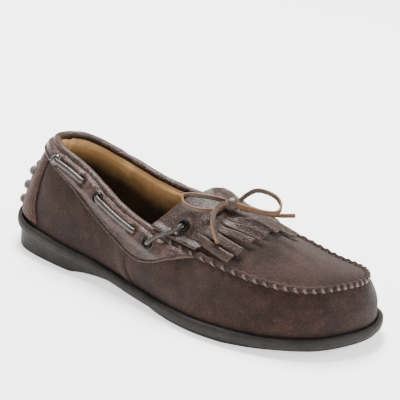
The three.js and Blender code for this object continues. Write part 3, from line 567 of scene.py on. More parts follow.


# color = mix(deep, mid, 24 mm patches), to lit by 0.3 of 11 mm noise and, as a painted highlight on the nap's
# tops, 0.5 of the 1.2 mm nap, with painted shade in the nap's hollows, paler on cut edges; bump = 0.4 mm nap
# over 0.2 mm lumps of 4 mm.
def suedePaint():
    paint = Paint("suede")
    big = paint.ramp(paint.noise(suedeSet["patch"], 3, 0.55, 0.3), 0.34, 0.66)
    brushed = paint.ramp(paint.noise(11, 3, 0.55, 0.3), 0.4, 0.74)
    nap = paint.noise(suedeSet["nap"], 2, 0.75)
    base = paint.mix(tone(*suedeSet["deep"]), tone(*suedeSet["mid"]), big * 0.75 + 0.15)
    # painted highlight: the nap's bump tops are mixed toward the lit tone; the 11 mm noise is random tone
    lit = paint.mix(base, tone(*suedeSet["lit"]), brushed * 0.3 + paint.ramp(nap, 0.5, 0.74) * 0.5)
    # painted shade: the nap's bump hollows are darkened toward near-black
    dark = paint.mix(lit, tone(18, 12, 10), paint.ramp(nap, 0.47, 0.3) * 0.6)
    worn = paint.mix(dark, tone(56, 40, 33), paint.mark("edge") * 0.4)
    normal = paint.bump(nap, 0.4, paint.bump(paint.noise(4, 2), 0.2))
    rough = paint.ramp(nap, 0.3, 0.7, 1.0, 0.9)
    return paint.finish(worn, rough, normal, Sheen_Weight=0.12, Sheen_Roughness=0.6, Specular_IOR_Level=0.06)


# color = mix(deep, mid, 0.6 drift + 0.4 wrinkle), to lit on cell tops as a painted highlight, 0.55 deep in
# creases as painted shade, raw on cut edges; bump = 0.15 mm of cells of grain mm and pores, over 0.55 mm
# wrinkles.
def grainPaint(name, deep, mid, lit, grain, shine, raw=(112, 82, 60), bare=0.2):
    paint = Paint(name)
    drift = paint.ramp(paint.noise(17, 4, 0.6, 0.5), 0.36, 0.64)
    crease = paint.ramp(paint.cells(grain, "DISTANCE_TO_EDGE"), 0.0, 0.2)
    pores = paint.noise(0.4, 2, 0.6)
    wrinkle = paint.noise((5.5, 3.2, 2.6), 4, 0.6, 1.2)
    base = paint.mix(tone(*deep), tone(*mid), drift * 0.6 + wrinkle * 0.4)
    # painted highlight on the tops of the grain cells and wrinkles
    highlightedTops = paint.mix(base, tone(*lit), crease * paint.ramp(wrinkle, 0.46, 0.7) * 0.7)
    # painted shade in the creases between grain cells
    creaseShaded = paint.mix(highlightedTops, tone(*(v * 0.55 for v in deep)), (1 - crease) * 0.7)
    cut = paint.mix(creaseShaded, tone(*raw), paint.mark("edge") * bare)
    below = paint.bump(wrinkle, 0.55)
    pebbled = paint.bump(crease * 0.8 + pores * 0.25, 0.15, below)
    rough = paint.ramp(pores * 0.4 + drift * 0.3 + (1 - crease) * 0.3, 0.1, 0.9, shine, shine + 0.24)
    return paint.finish(cut, rough, pebbled, Specular_IOR_Level=0.3, Coat_Weight=0.03, Coat_Roughness=0.25)


# color = mix(mix(dark, light, drift and fibre), mix(cut pair, fibre), share of the edge mark); bump =
# 0.14 mm fibres of 0.6 mm; roughness runs from shine to 0.8 with fibre and edge.
def lacePaint(name, dark, light, cut, share, shine):
    paint = Paint(name)
    fibre = paint.noise(0.6, 3, 0.65, 0.5)
    drift = paint.noise(6, 3, 0.6)
    face = paint.mix(tone(*dark), tone(*light), paint.ramp(drift * 0.5 + fibre * 0.5, 0.36, 0.66))
    raw = paint.mix(tone(*cut[0]), tone(*cut[1]), paint.ramp(fibre, 0.34, 0.66))
    edge = paint.mark("edge")
    color = paint.mix(face, raw, edge * share)
    rough = paint.ramp(fibre + edge * 0.7, 0.2, 1.1, shine, 0.8)
    return paint.finish(color, rough, paint.bump(fibre, 0.14), Specular_IOR_Level=0.5)


# color = mix(dark, light, 9 mm drift and 0.4 mm grain), with 0.14 of dust in 1.7 mm spots; bump = 0.22 mm
# of cells of speck mm and grain, over 0.2 mm lumps of 6 mm.
def rubberPaint(name, dark, light, speck, rough):
    paint = Paint(name)
    drift = paint.ramp(paint.noise(9, 4, 0.65), 0.35, 0.68)
    stipple = paint.cells(speck, "F1")
    fine = paint.noise(0.4, 2, 0.7)
    base = paint.mix(tone(*dark), tone(*light), drift * 0.6 + paint.ramp(fine, 0.5, 0.8) * 0.5)
    dusty = paint.mix(base, tone(92, 88, 85), paint.ramp(paint.noise(1.7, 3, 0.75), 0.58, 0.76) * 0.14)
    normal = paint.bump(stipple * 0.6 + fine * 0.5, 0.22, paint.bump(paint.noise(6, 2), 0.2))
    rough = paint.ramp(fine, 0.3, 0.7, rough, rough + 0.2)
    return paint.finish(dusty, rough, normal, Specular_IOR_Level=0.25)


# color = mix(tan by 14 mm drift and 0.5 mm pores, deep brown as painted shade, by the depth mark); bump =
# 0.08 mm pores over 0.7 mm wrinkles.
def liningPaint():
    paint = Paint("lining_leather")
    drift = paint.ramp(paint.noise(14, 4, 0.6, 0.8), 0.34, 0.68)
    pores = paint.noise(0.5, 2, 0.7)
    lit = paint.mix(tone(196, 150, 98), tone(222, 178, 122), drift * 0.7 + pores * 0.3)
    deep = paint.mix(tone(34, 23, 14), tone(50, 35, 22), drift)
    # painted shade: the lining turns deep brown the further it lies below the mouth's edge
    color = paint.mix(lit, deep, paint.mark("depth"))
    normal = paint.bump(pores, 0.08, paint.bump(paint.noise((16, 9, 6), 3, 0.6, 1), 0.7))
    return paint.finish(color, paint.ramp(pores, 0.3, 0.7, 0.6, 0.8), normal, Specular_IOR_Level=0.3)


# color = mix(light, dark, 0.8 of 2.2 mm tarnish); bump = 0.03 mm scratches; roughness rises by 0.22 with
# scratches and tarnish.
def metalPaint(name, dark, light, rough):
    paint = Paint(name)
    tarnish = paint.ramp(paint.noise(2.2, 4, 0.7), 0.42, 0.66)
    scratch = paint.noise((3, 3, 0.25), 2, 0.6)
    color = paint.mix(tone(*light), tone(*dark), tarnish * 0.8)
    normal = paint.bump(scratch, 0.03)
    worn = paint.ramp(scratch * 0.5 + tarnish * 0.5, 0.2, 0.8, rough, rough + 0.22)
    return paint.finish(color, worn, normal, Metallic=1.0)


# color = mix(dark, light, 0.7 noise of size mm + 0.3 tooth of 0.4 mm); bump = grain mm of the tooth.
def plainPaint(name, dark, light, size, rough, grain=0.15):
    paint = Paint(name)
    drift = paint.ramp(paint.noise(size, 4, 0.7), 0.36, 0.66)
    tooth = paint.noise(0.4, 2, 0.7)
    color = paint.mix(tone(*dark), tone(*light), drift * 0.7 + tooth * 0.3)
    rough = paint.ramp(tooth, 0.3, 0.7, rough, min(rough + 0.15, 1))
    return paint.finish(color, rough, paint.bump(tooth, grain))


looks = {  # the values that each kind of finish takes after its name
    # grain leathers: deep, mid, lit (the painted highlight colour on cell tops), grain size, shine, raw cut
    # colour, bare
    grainPaint: {
        "grain_leather": ((46, 29, 24), (72, 49, 42), (108, 80, 70), 1.6, 0.3),
        "kiltie_leather": ((36, 23, 19), (60, 42, 35), (92, 68, 59), 1.7, 0.34, (112, 82, 60), 0.25),
        "heel_leather": ((46, 25, 18), (70, 40, 30), (86, 53, 41), 2.2, 0.6, (66, 42, 33)),
    },
    lacePaint: {
        "lace_leather": ((26, 19, 17), (60, 47, 41), ((70, 52, 41), (112, 88, 70)), 0.6, 0.2),
        "bow_leather": ((38, 25, 18), (66, 46, 34), ((84, 56, 36), (128, 90, 58)), 0.85, 0.34),
        "whip_leather": ((44, 32, 28), (84, 68, 62), ((44, 32, 28), (70, 54, 47)), 0.6, 0.24),
    },
    rubberPaint: {
        "sole_rubber": ((22, 19, 18), (38, 34, 33), 1.3, 0.6),
        "pebble_rubber": ((72, 69, 66), (98, 94, 90), 0.8, 0.5),
    },
    metalPaint: {
        "eyelet_metal": ((14, 13, 13), (44, 41, 40), 0.3),
        "nickel": ((44, 42, 42), (104, 102, 100), 0.26),
        "shank_steel": ((120, 120, 124), (186, 186, 190), 0.3),
    },
    plainPaint: {
        "dark_lining": ((44, 30, 19), (66, 48, 31), 14, 0.75, 0.1),
        # a near-black disc in each eyelet's bore: painted shade in the hole
        "bore_dark": ((7, 5, 4), (14, 10, 9), 2, 0.9, 0.05),
        "thread": ((14, 9, 8), (30, 20, 18), 1.2, 0.6),
        "cork": ((140, 102, 60), (190, 150, 100), 2.5, 0.85, 0.4),
        "fibre_board": ((160, 134, 98), (196, 170, 130), 5, 0.85),
        "foam": ((206, 196, 164), (228, 220, 190), 3, 0.9, 0.3),
        "stiffener": ((190, 182, 166), (218, 212, 198), 7, 0.8),
    },
}
finishes = {name: kind(name, *look) for kind, group in looks.items() for name, look in group.items()}
finishes.update(suede=suedePaint(), lining_leather=liningPaint())
print("stage: materials ready")

# Sole unit: rim, tread and the seat that the upper stands in
soleSet = {
    "rim": 6.5, "lip": 1.2, "groove": 0.9, "inset": 2.5, "web": 1, "recess": 3, "recessInset": 9,
    "arch": 5.6, "spring": 7.5, "cuts": 5, "cutPitch": 12, "cutWidth": 2.2, "cutDepth": 1.1,
    "tuck": 3.4, "tuckReach": 0.55, "columns": 300,
}
waistArch = [(-.29, 0), (-.253, .45), (-.19, .85), (-.128, 1), (-.065, .89), (-.03, .6), (.003, .2), (.05, 0)]
toeSpring = [(.21, 0), (.29, .24), (.345, .44), (.39, .56), (.43, .64), (.47, .77), (.52, 1)]
flatFront = 0.21 * last["length"]


# The sole's lower face: the waist's arch plus the toe's spring, kept under the seat.
def underside(x):
    waist = np.maximum(valueAlong(np.array(waistArch) * (last["length"], soleSet["arch"]), x), 0)
    spring = np.maximum(valueAlong(np.array(toeSpring) * (last["length"], soleSet["spring"]), x), 0)
    return np.minimum(waist + spring, np.maximum(seatHeight(x) - soleSet["web"], 0))


# Depth of the tread's cross cuts at x: a smooth step round each place.
def grooves(x):
    places = flatFront + (soleSet["cuts"] / 2 - np.arange(soleSet["cuts"]) - 1) * soleSet["cutPitch"]
    away = np.min([np.abs(x - place) for place in places], 0)
    return soleSet["cutDepth"] * smooth((soleSet["cutWidth"] / 2 + 0.4 - away) / 0.8)


# How far the tread tucks in behind the heel, under the standing rim.
def heelTuck(station, offset, drop):
    atBack = np.exp(-(np.minimum(station, around - station) / soleSet["tuckReach"]) ** 2)
    return soleSet["tuck"] * atBack * drop * (offset > 0)


# The sole line moved outward by offset, at the height that heightAt gives.
def edgePoint(station, offset, heightAt, drop=0):
    point = featherAt(station) + outwardAt(station) * (offset - heelTuck(station, offset, drop))[..., None]
    point[..., 2] = heightAt(point[..., 0])
    return point


# Half a section of the sole, from the recess over the lip and down the rim: offset and height.
def sectionOfSole():
    top, low, reach = soleSet["lip"], -soleSet["rim"], last["soleReach"]
    inner, groove, tread = -soleSet["recessInset"], soleSet["groove"], reach - soleSet["inset"]

    def overSeat(rise):
        return lambda x: seatHeight(x) + rise

    def treadEdge(rise, clear, limit=np.inf):  # over the tread by clear, and by limit at most
        def height(x):
            return np.minimum(underside(x) + limit, np.maximum(seatHeight(x) + rise, underside(x) + clear))

        return height

    return [
        (inner, overSeat(-soleSet["recess"])), (inner, overSeat(-0.3)), (inner + 0.3, seatHeight),
        (groove - 0.3, seatHeight), (groove, overSeat(0.3)), (groove + 0.15, overSeat(top - 0.5)),
        (groove + 0.6, overSeat(top)), (reach - 2, overSeat(top - 0.05)), (reach - 1, overSeat(top - 0.5)),
        (reach - 0.3, overSeat(top - 1.4)), (reach, overSeat(-1.6)), (reach, overSeat(low * 0.62)),
        (reach - 0.3, overSeat(low + 0.9)), (reach - 0.9, overSeat(low + 0.2)), (reach - 1.5, overSeat(low)),
        (tread + 0.25, treadEdge(low - 0.05, 0.02)), (tread + 0.02, treadEdge(low - 0.4, 0.016)),
        (tread - 0.1, treadEdge(low - 0.5, 0.012, 1.4)), (tread - 0.45, treadEdge(low - 0.6, 0.008, 0.5)),
        (tread - 1.4, underside),
    ]


# Stations from heel to toe, closer together at both ends.
def heelToToe(count):
    grid = np.linspace(0, 1, count)
    return toe * (grid - 0.24 * np.sin(2 * np.pi * grid) / np.pi)


# Rows between two section points at the heights that heightAt gives, dished by dish arch(share).
def rowsBetween(first, end, shares, heightAt, dish=0):
    rows = [lerp(first, end, t) for t in shares]
    for t, row in zip(shares, rows):
        row[:, 2] = heightAt(row[:, 0]) - dish * 4 * t * (1 - t)
    return rows


# Rings of the half section on both sides, joined across the tread and the recess.
def soleUnit():
    station = heelToToe(soleSet["columns"])
    half = sectionOfSole()
    treadRows = 5  # the last rows of the section belong to the tread, which tucks in at the heel
    drops = [0] * (len(half) - treadRows) + [1] * treadRows
    near = [edgePoint(station, *point, drop) for point, drop in zip(half, drops)]
    far = [edgePoint(around - station, *point, drop) for point, drop in zip(half, drops)]
    share = np.linspace(0, 1, 25)[1:-1]
    bottom = rowsBetween(near[-1], far[-1], share, lambda x: underside(x) + grooves(x))
    top = rowsBetween(far[0], near[0], share[::4], lambda x: seatHeight(x) - soleSet["recess"])
    rings = np.stack(near + bottom + far[::-1] + top)
    faces = gridFaces(*rings.shape[:2], wrapRows=True)
    return weld(makeObject("sole_unit", rings, faces), 4e-6)


replaceWith(soleUnit(), "shoe", finishes["sole_rubber"], "sole_rubber", "outsole")
print("stage: sole")

# Suede walls
wallSet = {
    "thick": 1.6, "underRoll": 0.55, "quarterTop": 0.93, "seamRise": 0.9, "puckerDepth": 0.45,
    "puckerReach": 7, "wave": 0.35,
}
seamStart, seamEnd = 4.22, around - 4.22
whip = {"turns": 44, "radius": 2.05, "width": 2.2, "thick": 0.9, "slant": 0.09}


# The side seam leans forward below rise 0.4: 3.4 + 0.32 (1 - rise / 0.4)^2.
def seamStation(rise):
    return 3.4 + 0.32 * np.maximum(0, 1 - rise / 0.4) ** 2


# Stitch count along the apron seam at a station; whole numbers are the stitches.
def whipPhase(station):
    return (station - seamStart) / (seamEnd - seamStart) * whip["turns"]


# Gathers of the apron seam: a cosine for each stitch that fades with distance from the seam.
def puckers(station, fromSeam):
    wave = 0.5 + 0.5 * np.cos(2 * np.pi * whipPhase(station))
    inSeam = smooth((station - seamStart) / 0.3) * smooth((seamEnd - station) / 0.3)
    return -wallSet["puckerDepth"] * wave * inSeam * np.exp(-fromSeam / wallSet["puckerReach"] * 2.2)


# Slow unevenness of a hand-lasted wall, a fraction of a millimetre.
def softWaves(station, rise):
    wave = np.sin(station * 3.1 + 4 * rise) + 0.6 * np.sin(station * 5.7 - 7 * rise + 1.3)
    wave = wave + 0.4 * np.sin(11 * rise + station)
    return wallSet["wave"] * 0.5 * wave * smooth(rise / 0.2)


# A wall panel between two station lines that may lean with rise.
def wallSheet(name, fromStation, toStation, columns, rows, low, high, inner, outer, bumps=None):
    across = edged(0, 1, columns, 100)
    up = edged(0, 1, rows, 45)
    share, lift = np.meshgrid(across, up)

    def read(line, at):
        return line(at) if callable(line) else line + 0 * at

    first = lerp(read(fromStation, lift), read(toStation, lift), share)
    rise = lerp(read(low, first), read(high, first), lift)
    station = lerp(read(fromStation, rise), read(toStation, rise), share)
    return panelBody(name, onWall, station, rise, inner, outer, bumps)


# The rise that stops just under the seam's roll.
def underRoll(station):
    return 1 - wallSet["underRoll"] / wallTall(station)


# Slow waves plus the seam's gathers.
def vampBumps(station, rise, sides):
    return softWaves(station, rise) + puckers(station, (1 - rise) * 45)


vampWall = wallSheet(
    "vamp_wall_suede", lambda r: seamStation(r) - 0.07, lambda r: around - seamStation(r) + 0.07,
    420, 46, 0.0, underRoll, -wallSet["thick"], 0, vampBumps,
)
replaceWith(vampWall, "shoe", finishes["suede"], "suede", "vamp_wall")


# Slow waves plus a raised lap along the side seam.
def quarterBumps(station, rise, sides):
    reach = np.abs(station)
    toSeam = (seamStation(rise) - reach) * wallStep
    return softWaves(station, rise) + wallSet["seamRise"] * smooth(1.4 - toSeam / 9)


# One side's quarter, from the heel to the side seam.
def quarter(name, side):
    start, end = (0.0, seamStation) if side > 0 else (lambda r: -seamStation(r), 0.0)
    top, inner = wallSet["quarterTop"], -wallSet["thick"]
    return wallSheet(name, start, end, 130, 40, 0.0, top, inner, 0, quarterBumps)


for side, place in sideNames:
    piece = quarter(f"quarter_{place}_suede", side)
    replaceWith(piece, "shoe", finishes["suede"], "suede", "quarter_" + place)


# Stitches up the lap of the side seam.
def seamThread(name, side):
    rise = np.linspace(0.03, 0.5, 80)
    station = side * (seamStation(rise) - 0.055)
    out = wallSet["seamRise"] * 1.05
    return stitchRow(name, onWall(station, rise, out), wallNormal(station, rise), 2.4, 1.7, 0.32)


for side, place in sideNames:
    replaceWith(seamThread("side_seam_thread_" + place, side), "shoe", finishes["thread"], "lace_leather")

# Apron
throat = {"rear": 4.6, "arch": 0.35}
apronSet = {"columns": 90, "rows": 110, "fromSeam": 0.9, "frontRoom": 1.1}


# 4 share (1 - share): 0 at both ends, 1 in the middle.
def arch(share):
    return 4 * share * (1 - share)


# The station where the apron ends under the kiltie, bowed forward in the middle.
def throatLine(share):
    return throat["rear"] + throat["arch"] * arch(share)


mouthPairs = [
    (0, 3.68), (.05, 3.68), (.1, 3.72), (.2, 3.8), (.3, 3.95), (.4, 4.14),
    (.5, 4.3), (.6, 4.38), (.7, 4.36), (.8, 4.22), (.9, 4), (1, 3.8),
]


# The station of the kiltie's rear edge at a share across.
def mouthLine(share):
    return valueAlong(mouthPairs, share)


# The sine of the angle between the top edge and the line across.
def edgeSlant(station):
    across = unit(toplineAt(around - station) - toplineAt(station))
    run = unit(toplineAt(station + 0.05) - toplineAt(station - 0.05))
    return np.linalg.norm(np.cross(across, run), axis=-1)


# Stations and shares across for a dome panel kept clear of the seam line by inset.
def domeGrid(rear, front, columns, rows, inset):
    share, forward = np.meshgrid(edged(0, 1, columns, 70), edged(0, 1, rows, 100))
    station = lerp(rear(share), front(share), forward)
    start = np.minimum(inset / edgeSlant(station) / domeWide(station), 0.47)
    end = 1 - np.minimum(inset / edgeSlant(around - station) / domeWide(station), 0.47)
    return station, lerp(start, end, share)


# The last station where the dome is still long enough to carry the apron's edge.
def apronFront():
    station = np.linspace(8, 9, 400)
    toSeam = np.linalg.norm(crestAt(station) - toplineAt(toe + 0 * station), axis=-1)
    return station[toSeam > apronSet["fromSeam"] + apronSet["frontRoom"]].max()


# Gathers on both sides, a shallow sag in the middle and one slow wave.
def apronBumps(station, across, sides):
    wide = domeWide(station)
    near, far = puckers(station, across * wide), puckers(around - station, (1 - across) * wide)
    sag = -0.9 * smooth((station - 5) / 1.5) * arch(across) * smooth((8.6 - station) / 1.2)
    return near + far + sag + 0.3 * np.sin(station * 4 + across * 5) * arch(across)


apronGrid = domeGrid(
    lambda share: throatLine(share) - 0.02, lambda share: apronFront() + 0 * share,
    apronSet["columns"], apronSet["rows"], apronSet["fromSeam"],
)
apron = panelBody("apron_suede", onDome, *apronGrid, -wallSet["thick"], 0, apronBumps)
replaceWith(apron, "shoe", finishes["suede"], "suede", "apron")
print("stage: suede")


# Apron seam: a suede roll pinched by the whip lace

# Run, up and side directions of the apron seam.
def seamFrames(station):
    run = unit(toplineAt(station + 0.03) - toplineAt(station - 0.03))
    up = -unit(np.cross(outwardAt(station), run))
    return run, up, unit(np.cross(run, up))


# A round roll along the seam, pinched to 0.86 of its radius at each stitch.
def seamRoll():
    station = np.linspace(seamStart - 0.25, seamEnd + 0.25, 1100)
    swell = np.abs(np.sin(np.pi * (whipPhase(station) - 0.5))) ** 1.6
    ends = 0.55 + 0.45 * smooth((station - seamStart + 0.25) / 0.4) * smooth((seamEnd + 0.25 - station) / 0.4)
    angle = roundAngles(20)
    profile = np.stack([np.cos(angle) * whip["radius"] * 1.02, np.sin(angle) * whip["radius"]], -1)
    scale = (1.16 - 0.3 * swell) * ends
    return sweep("apron_seam_roll_suede", toplineAt(station), seamFrames(station)[1], profile, scale=scale)


# Each turn of the lace as a flat strap bent over the roll, entering the leather on both sides.
def whipStitches():
    turn = np.arange(whip["turns"] + 1)
    share = np.linspace(-1, 1, 15)
    angle = share * math.radians(128)
    middle = seamStart + turn * (seamEnd - seamStart) / whip["turns"]
    station = middle[:, None] + whip["slant"] * share[None]
    run, up, side = seamFrames(station)
    reach = (whip["radius"] * 0.98 + whip["thick"] * 0.5) * (1 - 0.16 * np.abs(share) ** 3)[None, :, None]
    spoke = up * np.cos(angle)[None, :, None] + side * np.sin(angle)[None, :, None]
    spine = toplineAt(station) + spoke * reach
    along = unit(np.gradient(spine, axis=1))
    wide = unit(np.cross(along, spoke))
    profile, edge = rectangleProfile(whip["width"], whip["thick"], 0.5, 1)
    section = wide[:, :, None] * profile[:, 0, None] + spoke[:, :, None] * profile[:, 1, None]
    points = spine[:, :, None] + section
    rows, sides = points.shape[1:3]
    base = gridFaces(rows, sides, wrapColumns=True)
    faces = (base[None] + (turn * rows * sides)[:, None, None]).reshape(-1, 4)
    marks = {"edge": np.tile(edge * 0.4, len(turn) * rows)}
    return makeObject("whip_lace_stitches", points, faces, marks)


replaceWith(seamRoll(), "shoe", finishes["suede"], "suede", "apron_seam_roll")
replaceWith(whipStitches(), "shoe", finishes["whip_leather"], "lace_leather", "whip_lace")
print("stage: apron seam")

# Collar band and the roll round the mouth
collarSet = {"thick": 1.2, "end": 4.66, "channel": 2.95, "flat": 3.8, "slope": 6, "stitchIn": 1.9}
laceSet = {"width": 3.6, "thick": 1.6}
eyeletStations = {"rear": 1.22, "middle": 2.48, "front": 3.78}
slotStations = (2.03, 3.42)
bindingSet = {"radius": 2.75, "end": 4.14}


# The rise of the collar lace's middle line.
def laceRise(station):
    return valueAlong(laceLine, np.abs(station))


# The rise of the collar's turned lower edge.
def collarBottom(station):
    return valueAlong(collarLow, np.abs(station))


# How far the collar stands off the wall: gap plus a channel over the lace that falls off with distance.
def collarLift(station, rise):
    off = np.abs(rise - laceRise(station)) * wallTall(station)
    return last["gap"] + collarSet["channel"] * (1 - smooth((off - collarSet["flat"]) / collarSet["slope"]))


# The distance to a spot on the lace line.
def nearLace(station, rise, spot):
    return np.hypot((np.abs(station) - spot) * wallStep, (rise - laceRise(spot)) * wallTall(station))


# Folds pulled toward the eyelets and slots, and slow waves between them.
def collarBumps(station, rise, sides):
    lump = 0.28 * np.sin(np.abs(station) * 9.5 + rise * 5) * np.sin(station * 3.3 + 0.7)
    for spot in slotStations:
        away = nearLace(station, rise, spot)
        lump = lump - 1.0 * np.exp(-(away / 3.2) ** 2) + 0.55 * np.exp(-((away - 6) / 2.2) ** 2)
    for spot in eyeletStations.values():
        away = nearLace(station, rise, spot)
        lump = lump - 0.35 * np.exp(-((away - 5.4) / 1.4) ** 2)
    low = sides[0]
    turned = 0.55 * np.exp(-((low - 0.9) / 0.8) ** 2) - 0.3 * np.exp(-((low - 2.0) / 0.55) ** 2)
    return lump * smooth(low / 4) + turned


# The rise where the collar ends under the roll, a little lower where the apron's seam begins.
def collarTop(station):
    inSeam = smooth((np.abs(station) - 4.05) / 0.15)
    return 1 - lerp(0.4, 0.6, inSeam) * bindingSet["radius"] / wallTall(station)


# One side's collar: a sheet from its turned edge up to the roll, lifted over the lace.
def collarBand(name, side):
    share, up = np.meshgrid(edged(0, 1, 330, 170), edged(0, 1, 44, 20))
    station = side * collarSet["end"] * (share if side > 0 else 1 - share)
    rise = lerp(collarBottom(station), collarTop(station), up)
    lift = collarLift(station, rise) * smooth((collarSet["end"] - np.abs(station)) / 0.5 + 0.1)
    toTop = (1 - rise) * wallTall(station)
    lift = lift * (1 - 0.5 * smooth(1 - (toTop - 1) / 3.5) * smooth((4.3 - np.abs(station)) / 0.2))
    lift = np.maximum(lift, last["gap"] * 0.5)
    return panelBody(name, onWall, station, rise, lift, lift + collarSet["thick"], collarBumps)


# Stitches along the collar's turned edge.
def collarThread(name, side):
    station = side * np.linspace(0.02, 4.5, 900)
    rise = collarBottom(station) + collarSet["stitchIn"] / wallTall(station)
    lift = collarLift(station, rise) + collarSet["thick"] + 0.02
    path = onWall(station, rise, lift)
    return stitchRow(name, path, wallNormal(station, rise), 2.6, 1.7, 0.42, 3)


# A round roll along the mouth's edge with slow swells, pinched at the slots.
def mouthBinding():
    station = np.linspace(-bindingSet["end"], bindingSet["end"], 520)
    angle = roundAngles(28)
    profile = np.stack([np.cos(angle), np.sin(angle)], -1) * bindingSet["radius"]
    profile[:, 0] *= 1.05
    wave = 1 + 0.035 * np.sin(station * 13) + 0.03 * np.sin(station * 7.3 + 1)
    for spot in slotStations:
        wave = wave - 0.1 * np.exp(-((np.abs(station) - spot) / 0.09) ** 2)
    face = wallSkin(station, 1 + 0 * station) - wallSkin(station, 0.9 + 0 * station)
    return sweep("mouth_binding_roll", toplineAt(station), face, profile, scale=wave)


for side, place in sideNames:
    band, thread = collarBand("collar_band_" + place, side), collarThread("collar_thread_" + place, side)
    replaceWith(band, "shoe", finishes["grain_leather"], "grain_leather", "collar_" + place)
    replaceWith(thread, "shoe", finishes["thread"], "lace_leather")
replaceWith(mouthBinding(), "shoe", finishes["grain_leather"], "grain_leather", "mouth_binding")
print("stage: collar")

# Heel patch with rubber pebbles
patchSet = {
    "out": 1.6, "thick": 1.2, "low": 4, "top": 0.83,
    "rises": (0.12, 0.32, 0.52), "stations": (-0.46, 0, 0.46),
    "step": 31,  # millimetres of heel in one station
}
pebbleSet = {"radius": 3.5, "stand": 3.6, "from": 0.8}
patchEnd = [(0, 1.5), (.12, 1.42), (.24, 1.28), (.36, 1.18), (.55, 1.06), (.72, .95), (.83, .88)]
pebbleSpots = [(station, rise) for rise in patchSet["rises"] for station in patchSet["stations"]]


# The heel's patch: a sheet whose sides follow patchEnd, with a hollow round each pebble.
def heelPatch():
    low = patchSet["low"] / wallTall(0.0)
    share, up = np.meshgrid(edged(-1, 1, 150, 110), edged(0, 1, 90, 45))
    rise = lerp(low, patchSet["top"], up)
    station = share * valueAlong(patchEnd, rise)

    def bumps(s, r, sides):
        nearest = np.minimum(sides[2], sides[3])
        out = -0.9 * (1 - smooth(nearest / 8)) + 0.2 * np.exp(-((nearest - 1) / 0.8) ** 2)
        for spot, height in pebbleSpots:
            away = np.hypot((s - spot) * patchSet["step"], (r - height) * wallTall(s))
            hollow = smooth((pebbleSet["radius"] + 0.9 - away) / 0.7)
            out = out - 1.3 * hollow + 0.3 * np.exp(-(away - 5) ** 2)
        return out

    inner, outer = patchSet["out"], patchSet["out"] + patchSet["thick"]
    return panelBody("heel_patch_leather", onWall, station, rise, inner, outer, bumps)


# A dome on a short round wall: radius cos(angle) wide, 0.75 radius sin(angle) tall.
def pebble(name, station, rise):
    place, axis = onWall(station, rise, pebbleSet["from"]), wallNormal(station, rise)
    high = patchSet["out"] + patchSet["thick"] + pebbleSet["stand"] - pebbleSet["from"]
    angle = np.linspace(0, np.pi / 2, 9)
    radius = pebbleSet["radius"]
    crown = np.stack([radius * np.cos(angle), high - radius * 0.75 + radius * 0.75 * np.sin(angle)], -1)
    crown[-1, 0] = 0
    profile = np.vstack([[(0, 0), (radius * 1.04, 0), (radius * 1.02, high * 0.3)], crown])
    return lathe(name, profile, place, axis, 32)


pebbles = [pebble(f"heel_pebble_{k}", *np.array(spot, float)) for k, spot in enumerate(pebbleSpots)]
replaceWith(heelPatch(), "shoe", finishes["heel_leather"], "heel_leather", "heel_patch")
replaceWith(pebbles[0], "shoe", finishes["pebble_rubber"], "pebble_rubber", "heel_pebble_plate")
for knob in pebbles[1:]:
    replaceWith(knob, "shoe", finishes["pebble_rubber"], "pebble_rubber")


# Stitches up one side of the heel patch.
def patchThread(name, side):
    rise = np.linspace(0.1, 0.78, 200)
    station = side * (valueAlong(patchEnd, rise) - 0.07)
    path = onWall(station, rise, patchSet["out"] + patchSet["thick"] - 0.25)
    return stitchRow(name, path, wallNormal(station, rise), 2.4, 1.6, 0.28)


for side, place in sideNames:
    replaceWith(patchThread("patch_thread_" + place, side), "shoe", finishes["thread"], "lace_leather")
print("stage: heel")

# Inside: lining, heel fold and sock
# deep: millimetres below the edge over which the lining's painted shade comes in
liningSet = {"inner": -5.0, "outer": -3.8, "low": 0.02, "high": 0.975, "end": 3.44, "deep": 24}


# A padded edge, one fold with a tuck beside it at the heel, and slow waves.
def liningBumps(station, rise, sides):
    fold = 1.5 * np.exp(-((station + 0.32 + 0.1 * rise) / 0.075) ** 2) * smooth((rise - 0.25) / 0.3)
    tuck = -0.7 * np.exp(-((station + 0.55 + 0.1 * rise) / 0.1) ** 2) * smooth((rise - 0.3) / 0.3)
    toEdge = (1 - rise) * wallTall(station)
    puff = -0.8 * np.exp(-((toEdge - 10) / 5) ** 2) + 2.0 * smooth((5 - toEdge) / 4)
    return puff - fold - tuck + 0.3 * np.sin(station * 6 + rise * 6)


# The lining round the mouth, inside the wall.
def quarterLining():
    end, inner, outer = liningSet["end"], liningSet["inner"], liningSet["outer"]
    low, high = liningSet["low"], liningSet["high"]
    # the depth mark darkens this lining as painted shade
    return shadeDepthMark(wallSheet("lining_quarter", -end, end, 240, 40, low, high, inner, outer, liningBumps))


# Marks how deep each point lies under the shoe's top edge, 0 at the edge to 1; the lining's paint turns it
# into painted shade.
def shadeDepthMark(thing):
    count = len(thing.data.vertices)
    points = np.empty(count * 3, np.float32)
    thing.data.vertices.foreach_get("co", points)
    points = points.reshape(-1, 3) * 1000 - shift
    rim = toplineAt(np.linspace(-4.5, 4.5, 400))
    rim = rim[np.argsort(rim[:, 0])]
    near, far = rim[rim[:, 1] < 0], rim[rim[:, 1] >= 0]
    height = sum(np.interp(points[:, 0], edge[:, 0], edge[:, 2]) for edge in (near, far)) / 2
    depth = smooth((height - points[:, 2] - 5) / liningSet["deep"])
    layer = thing.data.attributes.new("depth", "FLOAT", "POINT")
    layer.data.foreach_set("value", depth.astype(np.float32))
    return thing


replaceWith(quarterLining(), "shoe", finishes["lining_leather"], "lining_leather", "quarter_lining")

sockSet = {"inset": -7.0, "board": 2, "pad": 3, "padLength": 52, "padFade": 25, "thick": 1.3, "dish": 0.25}


